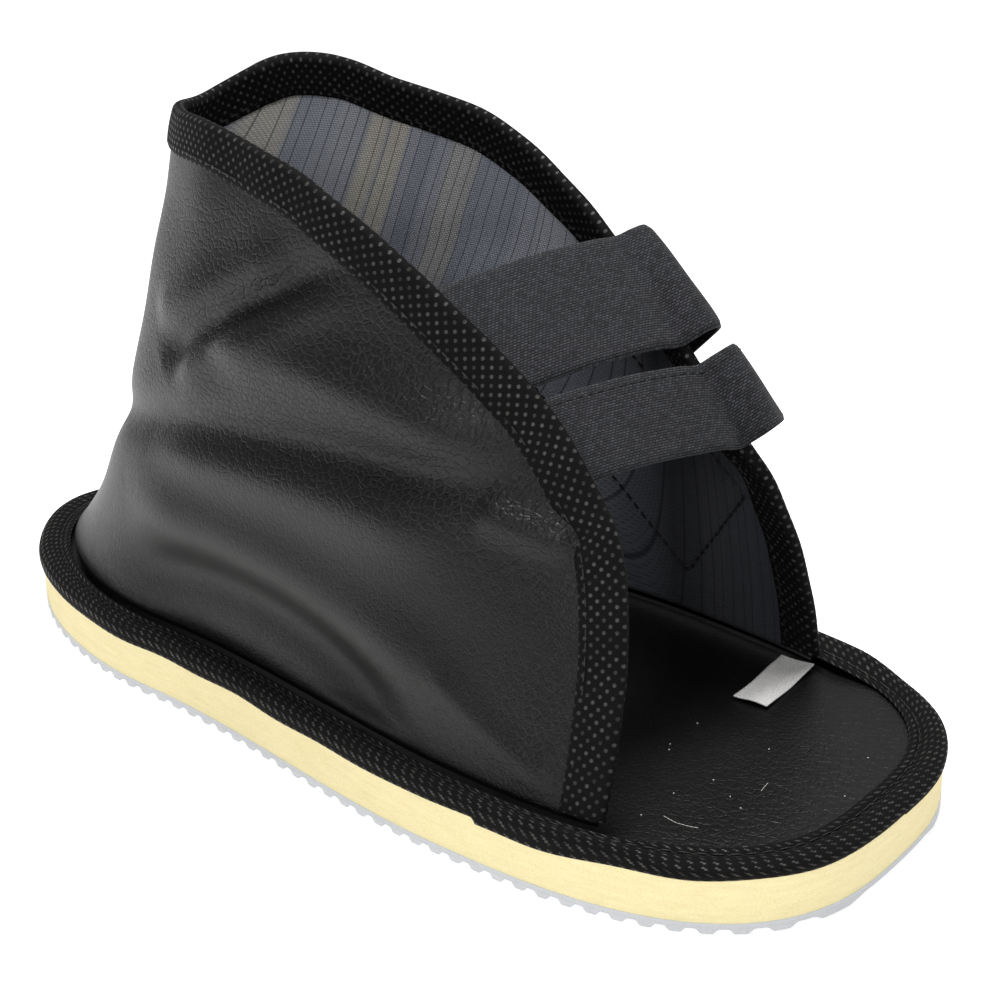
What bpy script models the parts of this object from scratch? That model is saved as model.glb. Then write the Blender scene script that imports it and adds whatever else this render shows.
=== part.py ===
"""Post operative shoe.

An open-toed shoe that closes over a bandaged foot. A flat foam sole with a
rippled outsole carries a soft upper that wraps the heel and both sides and is
open along the instep and at the toe. Black tape binds the edge of the sole and
the free edge of the upper, and two webbing straps cross the opening and fold
down on a loop patch on the far side.

Frame: the toe points to +X, +Y is the far side, +Z is up. The floor is at z = 0
and the middle of the sole's length and width is at x = y = 0. Lengths in metres.
"""
import math
from typing import NamedTuple

import bmesh
import bpy
import numpy as np

COLLECTION = "post_operative_shoe"

# Sole outline
SOLE_LENGTH = 0.275
HEEL_WIDTH = 0.0972
BALL_WIDTH = 0.1175
HEEL_ROUND = 0.0816
TOE_ROUND = 0.0853
HEEL_SQUARENESS = 1.9
TOE_SQUARENESS = 2.76

# Layers of the sole
OUTSOLE_THICK = 0.0027
RIB_PITCH = 0.006
RIB_GROOVE = 0.0034
RIB_DEPTH = 0.0012
MIDSOLE_THICK = 0.0111
INSOLE_THICK = 0.0013
FIT_GAP = 0.0003

# Upper and its bindings
UPPER_WALL = 0.0014
UPPER_RISE = 0.1300
FLANGE_WIDTH = 0.0078
HEEL_DRAW = 0.0030
HEEL_DRAW_END = 0.25
FRONT_DRAW = 0.0015
FRONT_SHIFT = 0.0035
FRONT_DRAW_START = 0.50
FOOT_FILLET = 0.0026
TAPE_THICK = 0.0006
RIM_TAPE_WIDTH = 0.0088
SOLE_TAPE_WIDTH = 0.0085
SOLE_TAPE_LIP = 0.7
SOLE_TAPE_ROUND = 0.0022
UNDER_TAPE_INSET = 0.0018

# The empty collar sways: its back leans to the far side, which stands higher
SWAY_ASIDE = 0.0040
SWAY_UP = 0.0020
SWAY_TILT = 0.16
SWAY_START = -0.030
SWAY_REACH = 0.040

# Straps, loop patch and label
STRAP_THICK = 0.0018
STRAP_GAP = 0.0005
UPPER_STRAP_WIDTH = 0.0315
LOWER_STRAP_WIDTH = 0.022
PATCH_THICK = 0.0014
LABEL_THICK = 0.0004

# Heights that follow from the layers
MIDSOLE_BASE = OUTSOLE_THICK + FIT_GAP
MIDSOLE_TOP = MIDSOLE_BASE + MIDSOLE_THICK
INSOLE_BASE = MIDSOLE_TOP + FIT_GAP
INSOLE_TOP = INSOLE_BASE + INSOLE_THICK
FLANGE_TOP = INSOLE_TOP + FIT_GAP + UPPER_WALL
FOOT_LEVEL = FLANGE_TOP + FOOT_FILLET


class UpperRow(NamedTuple):
    """One upright section of the upper, from its foot over the waist to the rim.

    foot_arc is the place of the foot along half of the sole's outline, from the
    heel (0) to the toe (1). The lengths along the shoe are shares of the sole's
    length from its middle, the half widths are shares of the ball width and the
    heights are shares of the upper's rise above its foot.
    """

    foot_arc: float
    waist_along: float
    waist_half: float
    waist_up: float
    rim_along: float
    rim_half: float
    rim_up: float


UPPER_ROWS = {
    "back seam": UpperRow(0.000, -0.347, 0.000, 0.345, -0.266, 0.000, 0.950),
    "counter": UpperRow(0.150, -0.300, 0.215, 0.360, -0.232, 0.160, 0.985),
    "quarter": UpperRow(0.290, -0.190, 0.320, 0.390, -0.153, 0.252, 1.000),
    "ankle": UpperRow(0.385, -0.110, 0.350, 0.410, -0.102, 0.272, 0.986),
    "side": UpperRow(0.487, 0.000, 0.365, 0.420, -0.003, 0.297, 0.937),
    "instep": UpperRow(0.588, 0.115, 0.370, 0.385, 0.112, 0.275, 0.796),
    "vamp": UpperRow(0.682, 0.230, 0.345, 0.325, 0.219, 0.229, 0.603),
    "front edge": UpperRow(0.756, 0.312, 0.306, 0.265, 0.280, 0.238, 0.444),
}


class RollRow(NamedTuple):
    """A line along the rounded edge of the sole's tape.

    inset is its distance inside the sole's edge and drop its distance below the
    tape's level, both as shares of the tape's round.
    """

    inset: float
    drop: float


SOLE_ROLL = {
    "low": RollRow(0.12, 0.60),
    "high": RollRow(0.45, 0.18),
    "level": RollRow(1.00, 0.00),
}


class StrapRow(NamedTuple):
    """One fold line across a strap.

    side is -1 inside the near rim and +1 outside the far rim. drop is how far
    the line lies below the rim, negative above it, and stand is how far the
    strap stands off its seat there. Both are shares of the strap's width.
    """

    side: int
    drop: float
    stand: float


UPPER_STRAP_ROWS = {
    "sewn end": StrapRow(-1, 0.46, 0.00),
    "inside": StrapRow(-1, 0.30, 0.00),
    "leaving": StrapRow(-1, 0.14, 0.00),
    "over the rim": StrapRow(1, 0.00, 0.00),
    "crest": StrapRow(1, 0.00, 0.16),
    "fold": StrapRow(1, 0.10, 0.25),
    "under the fold": StrapRow(1, 0.30, 0.17),
    "near the patch": StrapRow(1, 0.62, 0.02),
    "on the patch": StrapRow(1, 0.80, 0.00),
    "end": StrapRow(1, 1.40, 0.00),
}
LOWER_STRAP_ROWS = {
    "sewn end": StrapRow(-1, 0.66, 0.00),
    "inside": StrapRow(-1, 0.43, 0.00),
    "leaving": StrapRow(-1, 0.20, 0.00),
    "over the rim": StrapRow(1, 0.00, 0.00),
    "crest": StrapRow(1, 0.00, 0.24),
    "fold": StrapRow(1, 0.14, 0.37),
    "under the fold": StrapRow(1, 0.44, 0.31),
    "near the patch": StrapRow(1, 0.95, 0.04),
    "on the patch": StrapRow(1, 1.20, 0.00),
    "end": StrapRow(1, 2.00, 0.00),
}
UPPER_STRAP_NEAR = 0.0415
UPPER_STRAP_FAR = 0.0480
LOWER_STRAP_NEAR = 0.0632
LOWER_STRAP_FAR = 0.0700
STRAP_BOW = 0.0015
STRAP_CROSSING = (0.15, 0.40, 0.65, 0.88)

# Loop patch on the far side: middle along the rim, distance below it, size
PATCH_PLACE = 0.0535
PATCH_DROP = 0.0225
PATCH_LENGTH = 0.088
PATCH_WIDTH = 0.042

# Label: middle, size and turn on the insole
LABEL_X = 0.0857
LABEL_Y = 0.0305
LABEL_LENGTH = 0.0245
LABEL_WIDTH = 0.0092
LABEL_TURN = math.radians(3)

# Fineness of the meshes
OUTLINE_SAMPLES = 160
WALK_STEP = 0.003
FRONT_STEPS = 7
RIM_STEPS = 52
TOE_STEPS = 26
STRAP_ACROSS = 4
STRAP_ALONG = 30
PATCH_STEPS = 10


def unit(vectors: np.ndarray) -> np.ndarray:
    """Scale vectors to length one."""
    return vectors / np.linalg.norm(vectors, axis=-1, keepdims=True)


def smoothstep(share: np.ndarray) -> np.ndarray:
    """Ease from 0 to 1 with level ends."""
    share = np.clip(share, 0.0, 1.0)
    return share * share * (3.0 - 2.0 * share)


def spline(knots: np.ndarray, values: np.ndarray, at: np.ndarray) -> np.ndarray:
    """Smooth curve through a row of values at each knot."""
    slopes = np.gradient(values, knots, axis=0)
    span = np.clip(np.searchsorted(knots, at, side="right") - 1, 0, len(knots) - 2)
    width = (knots[span + 1] - knots[span])[..., None]
    t = (at - knots[span])[..., None] / width
    rise = t * t * (3.0 - 2.0 * t)
    return (
        values[span] * (1.0 - rise)
        + values[span + 1] * rise
        + slopes[span] * width * t * (1.0 - t) ** 2
        - slopes[span + 1] * width * t * t * (1.0 - t)
    )


def lengths_along(points: np.ndarray) -> np.ndarray:
    """Distance from the first point to each point along a path."""
    steps = np.linalg.norm(np.diff(points, axis=0), axis=1)
    return np.concatenate([[0.0], np.cumsum(steps)])


def half_outline() -> np.ndarray:
    """Far half of the sole's outline, from the heel's tip to the toe's tip.

    Each end is a superellipse. Between them the half width eases from the heel's
    to the ball's.
    """
    turn = np.linspace(0.0, math.pi / 2.0, OUTLINE_SAMPLES)
    heel_x = HEEL_ROUND * (1.0 - np.cos(turn) ** (2.0 / HEEL_SQUARENESS)) - SOLE_LENGTH / 2.0
    heel_fill = np.sin(turn) ** (2.0 / HEEL_SQUARENESS)
    toe_x = SOLE_LENGTH / 2.0 - TOE_ROUND * (1.0 - np.cos(turn) ** (2.0 / TOE_SQUARENESS))
    toe_fill = np.sin(turn) ** (2.0 / TOE_SQUARENESS)
    side_x = np.linspace(heel_x[-1], toe_x[-1], OUTLINE_SAMPLES)[1:-1]
    along = np.concatenate([heel_x, side_x, toe_x[::-1]])
    fill = np.concatenate([heel_fill, np.ones(len(side_x)), toe_fill[::-1]])
    widen = smoothstep((along - heel_x[-1]) / (toe_x[-1] - heel_x[-1]))
    half_width = (HEEL_WIDTH + (BALL_WIDTH - HEEL_WIDTH) * widen) / 2.0
    return np.stack([along, half_width * fill], axis=1)


OUTLINE = half_outline()
OUTLINE_ARC = lengths_along(OUTLINE) / lengths_along(OUTLINE)[-1]
HALF_PERIMETER = lengths_along(OUTLINE)[-1]


def outline_at(arc: np.ndarray, inset: float | np.ndarray, height: float | np.ndarray) -> np.ndarray:
    """Points on the sole's outline, moved inward and set at a height.

    Args:
        arc: share of half of the outline from the heel (0) to the toe (1),
            negative on the near side.
        inset: distance inward from the outline.
        height: height above the floor.

    Returns:
        One point for each arc.
    """
    ends = 1e-3
    place = np.clip(np.abs(arc), ends, 1.0 - ends)

    def on_far_half(share: np.ndarray) -> np.ndarray:
        axes = [np.interp(share, OUTLINE_ARC, OUTLINE[:, axis]) for axis in (0, 1)]
        return np.stack(axes, axis=-1)

    point = on_far_half(np.abs(arc))
    ahead = unit(on_far_half(place + ends) - on_far_half(place - ends))
    inward = np.stack([ahead[..., 1], -ahead[..., 0]], axis=-1)
    tip = (np.abs(arc) < ends) | (np.abs(arc) > 1.0 - ends)
    inward[tip] = np.stack([np.where(np.abs(arc[tip]) < 0.5, 1.0, -1.0), np.zeros(tip.sum())], axis=-1)
    moved = point + inward * np.broadcast_to(inset, arc.shape)[..., None]
    side = np.where(arc < 0.0, -1.0, 1.0)
    return np.stack([moved[..., 0], moved[..., 1] * side, np.broadcast_to(height, arc.shape)], axis=-1)


def guide_lines() -> tuple[np.ndarray, np.ndarray, np.ndarray]:
    """Foot arcs, waist points and rim points of the rows on both sides."""
    rows = list(UPPER_ROWS.values())
    arc = np.array([row.foot_arc for row in rows])
    waist = np.array(
        [
            (
                row.waist_along * SOLE_LENGTH,
                row.waist_half * BALL_WIDTH,
                FOOT_LEVEL + row.waist_up * UPPER_RISE,
            )
            for row in rows
        ]
    )
    rim = np.array(
        [
            (
                row.rim_along * SOLE_LENGTH,
                row.rim_half * BALL_WIDTH,
                FOOT_LEVEL + row.rim_up * UPPER_RISE,
            )
            for row in rows
        ]
    )
    mirror = np.array([1.0, -1.0, 1.0])
    return (
        np.concatenate([-arc[:0:-1], arc]),
        np.concatenate([waist[:0:-1] * mirror, waist]),
        np.concatenate([rim[:0:-1] * mirror, rim]),
    )


GUIDE_ARC, GUIDE_WAIST, GUIDE_RIM = guide_lines()
FRONT_ARC = GUIDE_ARC[-1]


def sway(rim: np.ndarray) -> np.ndarray:
    """Lean the back of the collar to the far side and tilt it up there."""
    share = smoothstep((SWAY_START - rim[..., 0]) / SWAY_REACH)
    aside = SWAY_ASIDE * share
    up = (SWAY_UP + SWAY_TILT * rim[..., 1]) * share
    return rim + np.stack([np.zeros_like(share), aside, up], axis=-1)


def foot_inset(arc: np.ndarray) -> np.ndarray:
    """Distance of the upper's foot from the sole's edge.

    It is more at the heel. At the front the upper sits nearer the near edge.
    """
    heel = 1.0 - smoothstep(np.abs(arc) / HEEL_DRAW_END)
    front = smoothstep((np.abs(arc) - FRONT_DRAW_START) / (FRONT_ARC - FRONT_DRAW_START))
    return FLANGE_WIDTH + HEEL_DRAW * heel + (FRONT_DRAW + FRONT_SHIFT * np.sign(arc)) * front


def skin(arc: np.ndarray, up: np.ndarray) -> np.ndarray:
    """Outer face of the upper: a bow from the foot over the waist to the rim.

    Args:
        arc: place of the section's foot along the outline, as in outline_at.
        up: share of the way from the foot (0) to the rim (1).

    Returns:
        One point for each pair.
    """
    up = up[..., None]
    foot = outline_at(arc, foot_inset(arc), FOOT_LEVEL)
    waist = spline(GUIDE_ARC, GUIDE_WAIST, arc)
    rim = sway(spline(GUIDE_ARC, GUIDE_RIM, arc))
    return (
        foot * (1.0 - up) * (1.0 - 2.0 * up)
        + waist * 4.0 * up * (1.0 - up)
        + rim * up * (2.0 * up - 1.0)
    )


def skin_slopes(arc: np.ndarray, up: np.ndarray) -> tuple[np.ndarray, np.ndarray]:
    """Change of the upper's outer face with arc and with up."""
    step = 1e-4
    low, high = np.maximum(arc - step, -FRONT_ARC), np.minimum(arc + step, FRONT_ARC)
    along = (skin(high, up) - skin(low, up)) / (high - low)[..., None]
    rising = (skin(arc, up + step) - skin(arc, up - step)) / (2.0 * step)
    return along, rising


def skin_normal(arc: np.ndarray, up: np.ndarray) -> np.ndarray:
    """Outward direction of the upper's outer face."""
    along, rising = skin_slopes(arc, up)
    return unit(np.cross(rising, along))


def place_on_skin(arc: np.ndarray, up: np.ndarray, target: np.ndarray) -> tuple[np.ndarray, np.ndarray]:
    """Arc and up of the point of the upper's face nearest to each target."""
    for _ in range(6):
        along, rising = skin_slopes(arc, up)
        jacobian = np.stack([along, rising], axis=-1)
        miss = (target - skin(arc, up))[..., None]
        turned = np.swapaxes(jacobian, -1, -2)
        change = np.linalg.solve(turned @ jacobian, turned @ miss)[..., 0]
        arc = np.clip(arc + change[..., 0], -FRONT_ARC, FRONT_ARC)
        up = up + change[..., 1]
    return arc, up


def walk_on_skin(
    arc: np.ndarray, up: np.ndarray, heading: np.ndarray, far: float
) -> tuple[np.ndarray, np.ndarray]:
    """Walk a distance over the upper's face, keeping to a heading."""
    steps = max(1, round(far / WALK_STEP))
    for _ in range(steps):
        outward = skin_normal(arc, up)
        level = unit(heading - outward * np.sum(heading * outward, axis=-1, keepdims=True))
        arc, up = place_on_skin(arc, up, skin(arc, up) + level * far / steps)
    return arc, up


class FreeEdge(NamedTuple):
    """The upper's free edge and the line a tape's width inside it."""

    arc: np.ndarray
    up: np.ndarray
    beyond: np.ndarray
    inner_arc: np.ndarray
    inner_up: np.ndarray


def free_edge() -> FreeEdge:
    """Follow the free edge from the near front foot round the rim to the far one."""
    dense = np.linspace(-FRONT_ARC, FRONT_ARC, 600)
    foot, rim = np.zeros_like(dense), np.ones_like(dense)
    spread = lengths_along(skin(dense, foot)) + lengths_along(skin(dense, rim))
    rim_arc = np.interp(np.linspace(0.0, spread[-1], RIM_STEPS + 1), spread, dense)
    climb = np.linspace(0.0, 1.0, FRONT_STEPS + 1)[:-1]
    arc = np.concatenate([np.full(FRONT_STEPS, -FRONT_ARC), rim_arc, np.full(FRONT_STEPS, FRONT_ARC)])
    up = np.concatenate([climb, np.ones(RIM_STEPS + 1), climb[::-1]])
    edge = skin(arc, up)
    forward = unit(np.gradient(edge, axis=0))
    beyond = unit(np.cross(forward, skin_normal(arc, up)))
    inner_arc, inner_up = place_on_skin(arc, up, edge - beyond * RIM_TAPE_WIDTH)
    inner_up[[0, -1]] = 0.0
    return FreeEdge(arc, up, beyond, inner_arc, inner_up)


EDGE = free_edge()


def panel_grid() -> tuple[np.ndarray, np.ndarray]:
    """Arc and up of the panel's inner points, between the foot and the tape."""
    front, rim = FRONT_STEPS, RIM_STEPS
    inner = np.stack([EDGE.inner_arc, EDGE.inner_up], axis=-1)
    left = inner[: front + 1]
    top = inner[front : front + rim + 1]
    right = inner[front + rim :][::-1]
    share = (top[:, 0] - top[0, 0]) / (top[-1, 0] - top[0, 0])
    bottom = np.stack([left[0, 0] + share * (right[0, 0] - left[0, 0]), np.zeros(rim + 1)], axis=-1)
    across = share[:, None, None]
    climb = np.linspace(0.0, 1.0, front + 1)[None, :, None]
    blend = (
        bottom[:, None] * (1.0 - climb)
        + top[:, None] * climb
        + left[None] * (1.0 - across)
        + right[None] * across
        - left[0] * (1.0 - across) * (1.0 - climb)
        - left[-1] * (1.0 - across) * climb
        - right[0] * across * (1.0 - climb)
        - right[-1] * across * climb
    )
    return blend[..., 0], blend[..., 1]


def flange_rows(arc: np.ndarray) -> np.ndarray:
    """Rows below the foot: round the fillet and out along the flange."""
    level = FOOT_LEVEL - FOOT_FILLET
    corner = FOOT_FILLET * (1.0 - math.sqrt(0.5))
    return np.stack(
        [
            outline_at(arc, foot_inset(arc) - corner, level + corner),
            outline_at(arc, foot_inset(arc) - FOOT_FILLET, level),
            outline_at(arc, UNDER_TAPE_INSET, level),
        ]
    )


def mesh_object(name: str, points: np.ndarray, faces: list, smooth: bool = True) -> bpy.types.Object:
    """Make a named object from points and faces and put it in the collection."""
    mesh = bpy.data.meshes.new(name)
    mesh.from_pydata(points.tolist(), [], faces)
    mesh.validate()
    if smooth:
        mesh.shade_smooth()
        mesh.set_sharp_from_angle(angle=math.radians(40))
    piece = bpy.data.objects.new(name, mesh)
    bpy.data.collections[COLLECTION].objects.link(piece)
    return piece


def grid_faces(index: np.ndarray, other_way: tuple = ()) -> list:
    """Triangles between the rows of an index grid.

    Rows run up and columns run along. Each cell is split from its low left to its
    high right corner, or the other way in the rows of cells named, so that pieces
    that lie on each other are split alike.
    """
    low_left, low_right = index[:-1, :-1], index[:-1, 1:]
    high_left, high_right = index[1:, :-1], index[1:, 1:]
    rising = np.stack([low_left, high_left, high_right, low_left, high_right, low_right], axis=-1)
    falling = np.stack([low_left, high_left, low_right, low_right, high_left, high_right], axis=-1)
    turned = np.isin(np.arange(len(low_left)), other_way)[:, None, None]
    return np.where(turned, falling, rising).reshape(-1, 3).tolist()


def ribbon(
    name: str, rows: np.ndarray, thick: float, offset: float, closed: bool = False, other_way: tuple = ()
) -> bpy.types.Object:
    """Make an open surface from rows of points and give it a thickness."""
    index = np.arange(rows.shape[0] * rows.shape[1]).reshape(rows.shape[:2])
    if closed:
        index = np.concatenate([index, index[:, :1]], axis=1)
    piece = mesh_object(name, rows.reshape(-1, 3), grid_faces(index, other_way))
    thicken(piece, thick, offset)
    return piece


def thicken(piece: bpy.types.Object, thick: float, offset: float) -> None:
    """Add a Solidify modifier: offset -1 grows inward, 1 outward."""
    solid = piece.modifiers.new("wall", "SOLIDIFY")
    solid.thickness = thick
    solid.offset = offset
    solid.use_even_offset = True


def paint(piece: bpy.types.Object, colour: tuple, roughness: float) -> None:
    """Give a piece a material of its own."""
    material = bpy.data.materials.new(piece.name)
    material.use_nodes = True
    shader = material.node_tree.nodes["Principled BSDF"]
    shader.inputs["Base Color"].default_value = (*colour, 1.0)
    shader.inputs["Roughness"].default_value = roughness
    shader.inputs["Metallic"].default_value = 0.0
    piece.data.materials.append(material)


def sole_arcs() -> np.ndarray:
    """Places round the whole outline: the upper's own, then the toe's."""
    foot = foot_arcs()
    toe = np.linspace(foot[-1], 2.0 - foot[-1], TOE_STEPS + 1)[1:-1]
    return np.concatenate([foot, np.where(toe > 1.0, toe - 2.0, toe)])


def foot_arcs() -> np.ndarray:
    """Places of the upper's columns along the foot, edge columns included."""
    arc, _ = panel_grid()
    return np.concatenate([[-FRONT_ARC], arc[:, 0], [FRONT_ARC]])


def plate(name: str, inset: float, low: float, high: float) -> bpy.types.Object:
    """A flat layer with the sole's outline, moved inward."""
    arc = sole_arcs()
    ring = outline_at(arc, inset, low)
    count = len(arc)
    points = np.concatenate([ring, ring + [0.0, 0.0, high - low]])
    around = np.arange(count)
    after = np.roll(around, -1)
    sides = np.stack([around, around + count, after + count, after], axis=-1).tolist()
    caps = [around.tolist(), (around[::-1] + count).tolist()]
    piece = mesh_object(name, points, sides + caps, smooth=False)
    mesh = bmesh.new()
    mesh.from_mesh(piece.data)
    bmesh.ops.recalc_face_normals(mesh, faces=mesh.faces)
    mesh.to_mesh(piece.data)
    mesh.free()
    return piece


def make_outsole() -> bpy.types.Object:
    """The thin outsole, with a groove across it at every rib pitch."""
    piece = plate("outsole", 0.0, 0.0, OUTSOLE_THICK)
    paint(piece, (0.83, 0.84, 0.86), 0.55)
    count = int((SOLE_LENGTH - RIB_GROOVE) / RIB_PITCH)
    half_mouth, half_floor = RIB_GROOVE / 2.0, RIB_GROOVE / 5.0
    reach = max(BALL_WIDTH, HEEL_WIDTH)
    below = RIB_DEPTH / 2.0
    profile = [(-half_mouth, -below), (-half_mouth, 0.0), (-half_floor, RIB_DEPTH)]
    profile += [(-along, height) for along, height in profile[::-1]]
    points, faces = [], []
    for groove in range(count):
        middle = (groove - (count - 1) / 2.0) * RIB_PITCH
        start = len(points)
        for side in (-reach, reach):
            points += [(middle + along, side, height) for along, height in profile]
        size = len(profile)
        near = [start + corner for corner in range(size)]
        far = [corner + size for corner in near]
        faces += [near, far[::-1]]
        faces += [
            (near[corner], far[corner], far[(corner + 1) % size], near[(corner + 1) % size])
            for corner in range(size)
        ]
    mesh = bpy.data.meshes.new("groove_cutter")
    mesh.from_pydata(points, [], faces)
    shape = bmesh.new()
    shape.from_mesh(mesh)
    bmesh.ops.recalc_face_normals(shape, faces=shape.faces)
    shape.to_mesh(mesh)
    shape.free()
    cutter = bpy.data.objects.new("groove_cutter", mesh)
    cutter.hide_render = True
    cutter.display_type = "WIRE"
    bpy.data.collections["cutters"].objects.link(cutter)
    cut = piece.modifiers.new("grooves", "BOOLEAN")
    cut.operation = "DIFFERENCE"
    cut.solver = "EXACT"
    cut.object = cutter
    return piece


def make_midsole() -> bpy.types.Object:
    """The foam midsole, with upright sides."""
    piece = plate("midsole", 0.0, MIDSOLE_BASE, MIDSOLE_TOP)
    paint(piece, (0.90, 0.84, 0.62), 0.8)
    return piece


def make_insole() -> bpy.types.Object:
    """The covered insole board, under the upper's flange and the sole's tape."""
    piece = plate("insole", UNDER_TAPE_INSET, INSOLE_BASE, INSOLE_TOP)
    paint(piece, (0.035, 0.034, 0.034), 0.55)
    return piece


def make_upper() -> tuple[bpy.types.Object, np.ndarray, np.ndarray]:
    """The upper: one shell from its flange to its free edge.

    Returns:
        The piece, and the vertices of its free edge and of the line a tape's
        width inside that edge.
    """
    edge = skin(EDGE.arc, EDGE.up)
    arc, up = panel_grid()
    panel = skin(arc, up)
    edge_count = len(edge)
    columns, rows = arc.shape
    panel_index = edge_count + np.arange(columns * rows).reshape(columns, rows)
    inner_index = np.concatenate(
        [panel_index[0, :-1], panel_index[:, -1], panel_index[-1, :-1][::-1]]
    )
    edge_index = np.arange(edge_count)
    flange = flange_rows(foot_arcs())
    below = edge_count + columns * rows
    flange_index = below + np.arange(flange[..., 0].size).reshape(flange.shape[:2])
    foot_index = np.concatenate([[0], panel_index[:, 0], [edge_count - 1]])
    faces = grid_faces(panel_index.T)
    faces += grid_faces(np.stack([inner_index, edge_index]))
    faces += grid_faces(np.concatenate([flange_index[::-1], foot_index[None]]))
    points = np.concatenate([edge, panel.reshape(-1, 3), flange.reshape(-1, 3)])
    piece = mesh_object("upper", points, faces)
    thicken(piece, UPPER_WALL, -1.0)
    piece.modifiers["wall"].use_even_offset = False
    paint(piece, (0.040, 0.039, 0.038), 0.45)
    return piece, edge_index, inner_index


def rim_fold() -> float:
    """How far the middle of the rim tape's fold lies beyond the free edge."""
    return FIT_GAP + TAPE_THICK * 0.8


def make_rim_binding(
    upper: bpy.types.Object, edge_index: np.ndarray, inner_index: np.ndarray
) -> bpy.types.Object:
    """Tape folded over the free edge, from the near front foot to the far one.

    Its two legs lie on the upper's outer and inner faces, so they follow the
    upper's own vertices and normals.
    """
    points = np.array([vertex.co for vertex in upper.data.vertices])
    outward = np.array([vertex.normal for vertex in upper.data.vertices])
    edge, inner = points[edge_index], points[inner_index]
    edge_out, inner_out = outward[edge_index], outward[inner_index]
    behind = UPPER_WALL + FIT_GAP
    rows = np.stack(
        [
            inner + inner_out * FIT_GAP,
            edge + edge_out * FIT_GAP,
            edge - edge_out * UPPER_WALL / 2.0 + EDGE.beyond * rim_fold(),
            edge - edge_out * behind,
            inner - inner_out * behind,
        ]
    )
    piece = ribbon("rim_binding", rows, TAPE_THICK, 1.0, other_way=(len(rows) - 2,))
    paint(piece, (0.015, 0.014, 0.014), 0.8)
    return piece


def make_sole_binding() -> bpy.types.Object:
    """Tape round the edge of the sole, over the flange and up to the panel's foot."""
    arc = sole_arcs()
    past = (np.abs(arc) - FRONT_ARC) * HALF_PERIMETER
    on_flange = 1.0 - smoothstep((past - RIM_TAPE_WIDTH / 2.0) / (2.0 * RIM_TAPE_WIDTH))
    cover = FIT_GAP + TAPE_THICK
    level = INSOLE_TOP + cover + on_flange * (UPPER_WALL + FIT_GAP)
    corner = FOOT_FILLET * (1.0 - math.sqrt(0.5))
    lean = cover * math.sqrt(0.5)
    climb = foot_inset(arc) - corner - lean
    flat_end = foot_inset(arc) - FOOT_FILLET - lean
    end = climb * on_flange + SOLE_TAPE_WIDTH * (1.0 - on_flange)
    flat_end = flat_end * on_flange + SOLE_TAPE_WIDTH * SOLE_TAPE_LIP * (1.0 - on_flange)
    roll = [
        outline_at(arc, SOLE_TAPE_ROUND * row.inset, level - SOLE_TAPE_ROUND * row.drop)
        for row in SOLE_ROLL.values()
    ]
    flat = [
        outline_at(arc, flat_end, level),
        outline_at(arc, end, level + on_flange * corner),
    ]
    rows = np.stack([outline_at(arc, 0.0, INSOLE_BASE)] + roll + flat)
    piece = ribbon("sole_binding", rows, TAPE_THICK, -1.0, closed=True)
    paint(piece, (0.015, 0.014, 0.014), 0.8)
    return piece


def rim_place(along: float) -> tuple[np.ndarray, np.ndarray, float]:
    """The far rim's arcs, the distance along it to each, and to a place on it."""
    arc = np.linspace(0.0, FRONT_ARC, 400)
    rim = skin(arc, np.ones_like(arc))
    distance = lengths_along(rim)
    return arc, distance, float(np.interp(along, rim[:, 0], distance))


def strap_rows(rows: dict, near: float, far: float, width: float) -> np.ndarray:
    """Points of a strap's middle surface, across and along.

    Each line along the strap leaves the rim at a right angle. Its points are set
    off the upper's face by what lies between, and a smooth curve joins them.
    """
    across = np.linspace(-width / 2.0, width / 2.0, STRAP_ACROSS + 1)
    half = STRAP_THICK / 2.0
    inside = -(UPPER_WALL + TAPE_THICK + FIT_GAP + STRAP_GAP + half)
    outside = max(TAPE_THICK, PATCH_THICK) + FIT_GAP + STRAP_GAP + half
    above = rim_fold() + TAPE_THICK + STRAP_GAP + half

    def line(side: int, drop: float, stand: float) -> np.ndarray:
        """Points across the strap at one distance below or above the rim."""
        dense, distance, middle = rim_place(near if side < 0 else far)
        arc = np.interp(middle + across, distance, dense) * side
        rim_up = np.ones_like(arc)
        edge, outward = skin(arc, rim_up), skin_normal(arc, rim_up)
        beyond = unit(np.cross(skin_slopes(arc, rim_up)[0], outward))
        over = edge + beyond * above
        if drop <= 0.0:
            return over + outward * stand
        arc, up = walk_on_skin(arc, rim_up, -beyond, drop)
        offset = inside if side < 0 else outside + stand
        beside = skin(arc, up) + skin_normal(arc, up) * offset
        turned = smoothstep(np.array(drop / (above + outside))) if side > 0 else 1.0
        return (over + outward * stand) * (1.0 - turned) + beside * turned

    near_lines = [line(-1, row.drop * width, 0.0) for row in rows.values() if row.side < 0]
    far_rows = np.array([(row.drop, row.stand) for row in rows.values() if row.side > 0]) * width
    knots = lengths_along(far_rows)
    folds = spline(knots, far_rows, np.linspace(0.0, knots[-1], STRAP_ALONG // 2))
    far_lines = [line(1, drop, max(stand, 0.0)) for drop, stand in folds]
    upward = np.array([0.0, 0.0, 1.0])
    crossing = []
    for share in STRAP_CROSSING:
        bow = upward * STRAP_BOW * 4.0 * share * (1.0 - share)
        crossing.append(near_lines[-1] * (1.0 - share) + far_lines[0] * share + bow)
    lines = np.stack(near_lines + crossing + far_lines)
    knots = lengths_along(lines[:, STRAP_ACROSS // 2])
    even = np.linspace(0.0, knots[-1], STRAP_ALONG + 1)
    return spline(knots, lines.reshape(len(knots), -1), even).reshape(len(even), -1, 3)


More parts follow.
